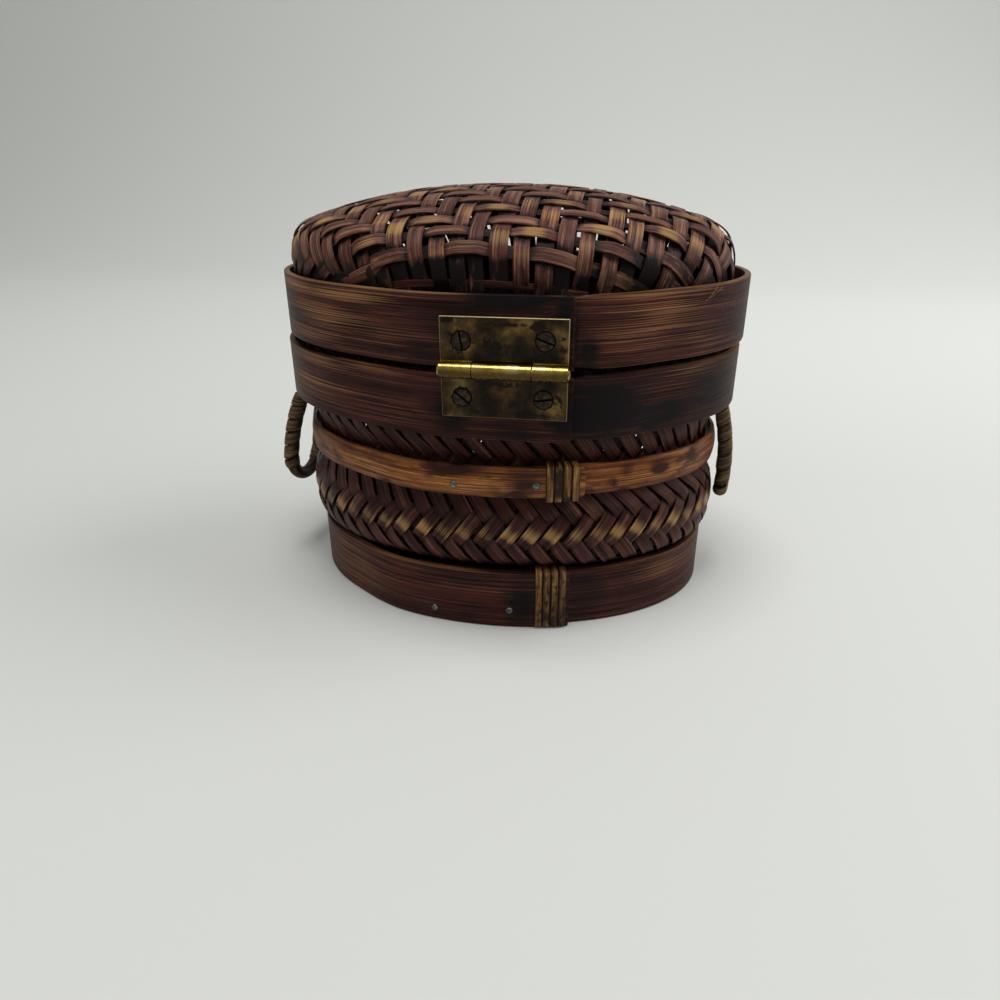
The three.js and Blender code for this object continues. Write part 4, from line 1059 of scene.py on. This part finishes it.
for name, values in handles.items():
    line, lengths = handleLine(values)
    rod, tongue, exitZ = handleShape["rod"], handleShape["tongue"], handleShape["exitZ"]
    spots = []
    for i in range(handleShape["stations"] + 1):
        distance = lengths[-1] * i / handleShape["stations"]
        point, heading, flat, wide = handleFrame(line, lengths, distance)
        thick = rod + (tongue - rod) * smoothStep(point.z - exitZ, *handleShape["pared"])
        bare = (values["bend"] - rod) * (1 - smoothStep(point.z - values["bottom"], *handleShape["bare"]))
        spots.append(spotAt(point, wide, flat, rod + bare, distance, thick=thick + bare))
    bm = newMesh()
    bendTube(bm, spots, handleShape["sides"], chance.random())
    makePiece(bm, name + "_rod", [darkRod], "basket", "handle_rod", name + "_core")
    start = next(lengths[i] for i in range(len(line)) if line[i].z < wrap["start"])
    thickness = values["wrapThickness"]
    radius = rod + wrap["clearance"] + thickness / 2
    section = sectionOf(thickness, wrap["section"])
    for number, leg, startReach in ((1, -1, start), (2, 1, lengths[-1] - start)):
        spots = []
        wound = round(values["turns"][number - 1] * wrap["steps"])
        for i in range(wound + 1):
            turn = 2 * math.pi * i / wrap["steps"]
            distance = wrap["half"] + wrap["pitch"] * i / wrap["steps"]
            point, heading, flat, wide = handleFrame(line, lengths, startReach - leg * distance)
            face = flat * math.cos(turn) + wide * math.sin(turn)
            half = wrap["half"] * (wrap["end"] + (1 - wrap["end"]) * smoothStep(wound - i, 0, wrap["taper"]))
            centre = point + face * radius + heading * leg * (wrap["half"] - half)
            outer = face.x * values["side"]
            spots.append(spotAt(centre, heading * -leg, face, half, radius * turn, outer=outer))
        finish = [handleCane], "basket", "handle_cane"
        stripPiece(spots, section, wrapMarks, f"{name}_cane_{number}", *finish, f"{name}_wrap_{number}")

# hinge: two plates whose ends are rolled round a pin
hinge = {
    "x": 8.2, "axisZ": 90.3, "width": 36.3, "thickness": 1.2, "knuckle": 2.3, "bore": 1.2, "pin": 0.95,
    "top": 105.2, "bottom": 76.4, "joints": (-0.5, 16.4), "gap": 0.3, "bevel": 0.25, "rolled": 290,
    "rollSteps": 40, "cuts": 27, "close": 0.01,
    "brightEdge": (0.02, 0.3), "brightTop": 0.9, "brightSides": 0.3,  # depths and amounts of a bright edge
    # of the next two, the first is painted shade over the knuckles' lower half
    "underShade": (0.97, -1.2, 0.2), "specks": (0.26, 0, 1.6),  # amounts between depths below the pin
}
leafInner = -(hoops["lid_hoop"]["halfWidth"] - ovalDifference + strip + seatGap) - seatGap / 2
leafOuter = leafInner - hinge["thickness"]
pinY = leafInner - hinge["knuckle"]
leafLeft, leafRight = hinge["x"] - hinge["width"] / 2, hinge["x"] + hinge["width"] / 2
# stains on the plates, and painted shade in the last four, about the screws: x, height, reach in x
# and in height, amount
leafStainsAndShade = (
    (-7.5, 104.2, 1.3, 0.7, 0.9), (9, 103.2, 6, 0.6, 0.5), (18, 103.0, 2.0, 1.5, 0.9),
    (-7.4, 100.2, 0.6, 0.5, 0.8), (-9, 97.4, 0.6, 0.6, 0.8), (5, 97.5, 4, 3, 0.4), (6, 95, 1.0, 1.0, 0.6),
    (24.4, 99.8, 0.6, 0.7, 0.8), (24.6, 96.6, 0.8, 1.2, 0.7), (22.6, 94.4, 2.4, 0.8, 0.6),
    (-3.8, 95.2, 2.6, 0.6, 0.4), (8, 86.4, 7, 0.9, 0.5), (24.2, 82.4, 0.9, 2.6, 0.6),
    (0.6, 78.2, 1.6, 0.7, 0.6), (16, 77.8, 5, 0.8, 0.6), (-6, 80, 1.6, 1.4, 0.35),
    (-3.8, 98.5, 2.5, 2.5, 1.0), (19.8, 99, 2.5, 2.5, 1.0), (-3.9, 82.3, 2.5, 2.5, 1.0),
    (19.6, 82.5, 2.5, 2.5, 1.0),
)


def setInFrame(bm):
    bmesh.ops.translate(bm, verts=bm.verts[:], vec=ovalMiddle)
    bmesh.ops.scale(bm, verts=bm.verts[:], vec=(mm, mm, mm))


def newVert(bm, place):
    return bmesh.ops.create_vert(bm, co=place)["vert"][0]


def hingeLeaf(side, end, knuckles):
    bm = newMesh()
    axisZ, clear = hinge["axisZ"], hinge["axisZ"] + side * (hinge["knuckle"] + hinge["gap"])
    plate = bmesh.ops.create_cube(bm, size=1)["verts"]
    bmesh.ops.scale(bm, verts=plate, vec=(hinge["width"], hinge["thickness"], abs(end - clear)))
    bmesh.ops.translate(bm, verts=plate, vec=(hinge["x"], (leafInner + leafOuter) / 2, (clear + end) / 2))
    # every edge is bevelled but those beside the knuckles
    rims = []
    for edge in bm.edges:
        if any(abs(vert.co.z - clear) >= hinge["close"] for vert in edge.verts):
            rims.append(edge)
    bmesh.ops.bevel(
        bm, geom=rims, offset=hinge["bevel"], affect="EDGES", segments=3, profile=0.5, material=-1
    )
    front = min(bm.faces, key=lambda face: face.calc_center_median().y)
    bmesh.ops.subdivide_edges(bm, edges=list(front.edges), cuts=hinge["cuts"], use_grid_fill=True)
    marks = bm.verts.layers.float_vector["marks"]
    nearest, deepest = hinge["brightEdge"]
    for vert in bm.verts:
        x, y, z = vert.co
        bright = hinge["brightTop"] if z > hinge["top"] - deepest else hinge["brightSides"]
        vert[marks] = (0, patchAmount(leafStainsAndShade, x, z), bright * (nearest < y - leafOuter < deepest))
    for left, right in knuckles:
        # the leaf's end, rolled round the pin and back to the plate
        steps = hinge["rollSteps"]
        turns = [math.radians(-hinge["rolled"] * i / steps) for i in range(steps + 1)]
        outline = [(leafInner, clear)]
        for radius, way in ((hinge["knuckle"], turns), (hinge["bore"], turns[::-1])):
            outline += [(pinY + radius * math.cos(t), axisZ + side * radius * math.sin(t)) for t in way]
        outline.append((leafOuter, clear))
        verts = [newVert(bm, (left, y, z)) for y, z in outline]
        edges = [bm.edges.new(pair) for pair in zip(verts, verts[1:] + verts[:1])]
        roll = bmesh.ops.edgeloop_fill(bm, edges=edges)["faces"]
        moved = ofKind(bmesh.ops.extrude_face_region(bm, geom=roll, use_keep_orig=True)["geom"], vertKind)
        bmesh.ops.translate(bm, verts=moved, vec=(right - left, 0, 0))
        rolled = set(verts) | set(moved)
        # rust specks low on the knuckles, and painted shade over their lower half
        for vert in rolled:
            low = axisZ - vert.co.z
            vert[marks] = (0, rising(low, *hinge["specks"]), rising(low, *hinge["underShade"]))
        for face in bm.faces:
            if all(vert in rolled for vert in face.verts):
                face.material_index = 1
    setInFrame(bm)
    return bm


jointA, jointB = hinge["joints"]
halfGap = hinge["gap"] / 2
upperLeaf = hingeLeaf(1, hinge["top"], ((leafLeft, jointA - halfGap), (jointB + halfGap, leafRight)))
lowerLeaf = hingeLeaf(-1, hinge["bottom"], ((jointA + halfGap, jointB - halfGap),))
leafBrass = [tarnishedBrass, brightBrass]
makePiece(upperLeaf, "hinge_upper_plate", leafBrass, "lid", "brass", "hinge_upper_leaf")
makePiece(lowerLeaf, "hinge_lower_plate", leafBrass, "basket", "brass", "hinge_lower_leaf")


def spunPiece(profile, segments):
    # a round piece about the Z line, spun from distances out and heights
    bm = bmesh.new()
    verts = [newVert(bm, (radius, 0, height)) for radius, height in profile]
    edges = [bm.edges.new(pair) for pair in zip(verts, verts[1:])]
    axis = {"cent": (0, 0, 0), "axis": (0, 0, 1)}
    bmesh.ops.spin(bm, geom=verts + edges, **axis, angle=2 * math.pi, steps=segments, use_merge=True)
    bmesh.ops.remove_doubles(bm, verts=bm.verts[:], dist=1e-4)
    return bm


def turnAndSet(bm, turn, place):
    bmesh.ops.rotate(bm, verts=bm.verts[:], cent=(0, 0, 0), matrix=turn.to_matrix())
    bmesh.ops.translate(bm, verts=bm.verts[:], vec=place)
    setInFrame(bm)


# the pin's riveted ends: distances out, and how far past the leaves
pinShape = {"end": ((0, 0.85), (1.0, 0.78), (1.5, 0.5), (1.66, 0.1), (hinge["pin"], 0.1)), "segments": 28}
pinProfile = [(radius, -hinge["width"] / 2 - height) for radius, height in pinShape["end"]]
pinProfile += [(radius, -height) for radius, height in reversed(pinProfile)]
bm = spunPiece(pinProfile, pinShape["segments"])
turnAndSet(bm, upward.rotation_difference(Vector((1, 0, 0))), (hinge["x"], pinY, hinge["axisZ"]))
makePiece(bm, "hinge_pin_rod", [brightBrass], "basket", "brass", "hinge_pin")

# slotted oval heads. Painted shade lies in the slot and past "rim", a share of the head's radius
screwShape = {
    "head": 2.95, "dome": 0.55, "shank": 1.3, "length": 4.0, "point": 1, "segments": 40,
    "slotWidth": 0.62, "slotFloor": 0.06, "rim": 0.88,
    "form": ((0, 1), (0.35, 0.95), (0.65, 0.78), (0.86, 0.5), (0.96, 0.24), (1, 0)),
}
# x, height, the slot's turn and the body
screws = {
    "hinge_screw_1": (-3.8, 98.5, 100, "lid"),
    "hinge_screw_2": (19.8, 99, 160, "lid"),
    "hinge_screw_3": (-3.9, 82.3, 142, "basket"),
    "hinge_screw_4": (19.6, 82.5, 8, "basket"),
}
for name, (x, z, slotTurn, body) in screws.items():
    shank, length, slotHalf = screwShape["shank"], screwShape["length"], screwShape["slotWidth"] / 2
    profile = [(screwShape["head"] * out, screwShape["dome"] * rise) for out, rise in screwShape["form"]]
    profile += [(shank, -hinge["thickness"]), (shank, -length), (0, -length - screwShape["point"])]
    bm = spunPiece(profile, screwShape["segments"])
    for side in (-1, 1):
        geom = bm.verts[:] + bm.edges[:] + bm.faces[:]
        cut = {"plane_co": (0, side * slotHalf, 0), "plane_no": (0, 1, 0)}
        bmesh.ops.bisect_plane(bm, geom=geom, dist=1e-5, **cut)
    slot = []
    for face in bm.faces:
        middle = face.calc_center_median()
        if abs(middle.y) < slotHalf and middle.z > screwShape["slotFloor"]:
            slot.append(face)
        if math.hypot(middle.x, middle.y) > screwShape["head"] * screwShape["rim"]:
            face.material_index = 1
    for vert in ofKind(bmesh.ops.extrude_face_region(bm, geom=slot)["geom"], vertKind):
        vert.co.z = screwShape["slotFloor"]
        for face in vert.link_faces:
            face.material_index = 1
    bmesh.ops.delete(bm, geom=slot, context="FACES")
    turn = Quaternion((1, 0, 0), math.radians(90)) @ Quaternion((0, 0, 1), math.radians(slotTurn))
    turnAndSet(bm, turn, (x, leafOuter, z))
    makePiece(bm, name + "_head", [brownedSteel, slotShade], body, "dark_steel", name)

# nails through the laps
nailShape = {
    "head": 1.15, "dome": 0.55, "shank": 0.55, "length": 3.6, "point": 0.6, "lift": 0.1, "segments": 24,
    "form": ((0, 1), (0.5, 0.85), (0.85, 0.5), (1, 0)),
}
# the hoop, x and height
nails = {
    "base_nail_1": ("base_hoop", -17.3, 4.3),
    "base_nail_2": ("base_hoop", 8.5, 6.4),
    "waist_nail_1": ("waist_hoop", -8.7, 52.2),
    "waist_nail_2": ("waist_hoop", 17, 52.9),
}
for name, (hoopName, x, z) in nails.items():
    point, outward = onLap(hoopLine(hoops[hoopName]), x)
    shank, length, lift = nailShape["shank"], nailShape["length"], nailShape["lift"]
    profile = [(nailShape["head"] * out, lift + nailShape["dome"] * rise) for out, rise in nailShape["form"]]
    profile += [(shank, lift), (shank, nailShape["point"] - length), (0, -length)]
    bm = spunPiece(profile, nailShape["segments"])
    surface = point + outward * (strip / 2)
    turnAndSet(bm, upward.rotation_difference(outward.to_3d()), (surface.x, surface.y, z))
    makePiece(bm, name + "_head", [nailSteel], "basket", "dark_steel", name)

# a pale paper sheet that runs back and curves up behind the box, in metres. Its colour goes over from the
# floor's to the paler wall's between two depths: painted light up the wall
sheet = {
    "floor": "#d0d1cd", "wall": "#e8e9e5", "from": 0.1, "to": 0.65, "roughness": 0.9, "drop": 0.0002,
    "side": 3.0, "front": -3.0, "back": 0.7, "curve": 0.8, "bends": 24, "top": 2.4,
}
sheetMaterial, sheetShader = newMaterial("paper_sheet_matt")
point = addNode(sheetMaterial, "TexCoord", {})["Object"]
depth = addNode(sheetMaterial, "SeparateXYZ", {0: point})["Y"]
depth = shareOf(sheetMaterial, depth, sheet["from"], sheet["to"])
pale = blend(sheetMaterial, depth, colour(sheet["floor"]), colour(sheet["wall"]))
sheetMaterial.node_tree.links.new(pale, sheetShader.inputs["Base Color"])
sheetShader.inputs["Roughness"].default_value = sheet["roughness"]
bm = bmesh.new()
edge = bm.edges.new([newVert(bm, (x, sheet["front"], 0)) for x in (-sheet["side"], sheet["side"])])
laid = bmesh.ops.extrude_edge_only(bm, edges=[edge])["geom"]
laidVerts = ofKind(laid, vertKind)
bmesh.ops.translate(bm, verts=laidVerts, vec=(0, sheet["back"] - sheet["front"], 0))
bent = bmesh.ops.spin(
    bm,
    geom=laidVerts + ofKind(laid, edgeKind),
    cent=(0, sheet["back"], sheet["curve"]),
    axis=(1, 0, 0),
    angle=math.pi / 2,
    steps=sheet["bends"],
)
risen = bmesh.ops.extrude_edge_only(bm, edges=ofKind(bent["geom_last"], edgeKind))["geom"]
bmesh.ops.translate(bm, verts=ofKind(risen, vertKind), vec=(0, 0, sheet["top"] - sheet["curve"]))
bmesh.ops.recalc_face_normals(bm, faces=bm.faces[:])
for face in bm.faces:
    face.smooth = True
sheetMesh = bpy.data.meshes.new("paper_sheet")
bm.to_mesh(sheetMesh)
bm.free()
sheetMesh.materials.append(sheetMaterial)
paperSheet = bpy.data.objects.new("paper_sheet", sheetMesh)
paperSheet.location.z = -sheet["drop"]
bpy.context.scene.collection.objects.link(paperSheet)

# soft lights, each turned to the middle of the box, in metres and watts
studio = {
    "sky": ("#dcdedc", 0.45),
    "middle": (0, 0, 0.06),
    "lights": {
        "top": {"place": (-0.04, -0.15, 1.3), "size": 0.6, "power": 9.0},
        "side": {"place": (1.0, 0.15, 0.8), "size": 1.0, "power": 8.5},
        "fill": {"place": (-0.7, -0.9, 0.6), "size": 1.0, "power": 0.4},
    },
}
world = bpy.data.worlds.new("studio_air")
bpy.context.scene.world = world
world.use_nodes = True
background = world.node_tree.nodes["Background"]
background.inputs["Color"].default_value = colour(studio["sky"][0])
background.inputs["Strength"].default_value = studio["sky"][1]
for name, values in studio["lights"].items():
    lamp = bpy.data.lights.new(name + "_softbox", "AREA")
    lamp.shape = "DISK"
    lamp.size = values["size"]
    lamp.energy = values["power"]
    lampObject = bpy.data.objects.new(name + "_softbox", lamp)
    lampObject.location = values["place"]
    aim = Vector(studio["middle"]) - Vector(values["place"])
    lampObject.rotation_euler = aim.to_track_quat("-Z", "Y").to_euler()
    bpy.context.scene.collection.objects.link(lampObject)

# the camera fitted to the hoops: place in mm, roll in degrees, focal length as a share of the sensor
view = {
    "place": (42.05, -261.36, 143.59), "heading": (-0.15654, 0.89603, -0.41549), "roll": -0.27,
    "focal": 0.7401, "sensor": 36, "nearest": 0.01,
}
camera = bpy.data.cameras.new("photo_view")
camera.sensor_width = view["sensor"]
camera.lens = view["focal"] * view["sensor"]
camera.clip_start = view["nearest"]
cameraObject = bpy.data.objects.new("photo_view", camera)
cameraObject.location = (Vector(view["place"]) + ovalMiddle) * mm
level = Vector(view["heading"]).to_track_quat("-Z", "Y")
cameraObject.rotation_euler = (level @ Quaternion((0, 0, 1), math.radians(view["roll"]))).to_euler()
bpy.context.scene.collection.objects.link(cameraObject)
bpy.context.scene.camera = cameraObject
bpy.context.scene.view_settings.view_transform = "Standard"
print("sheet, light and camera set")
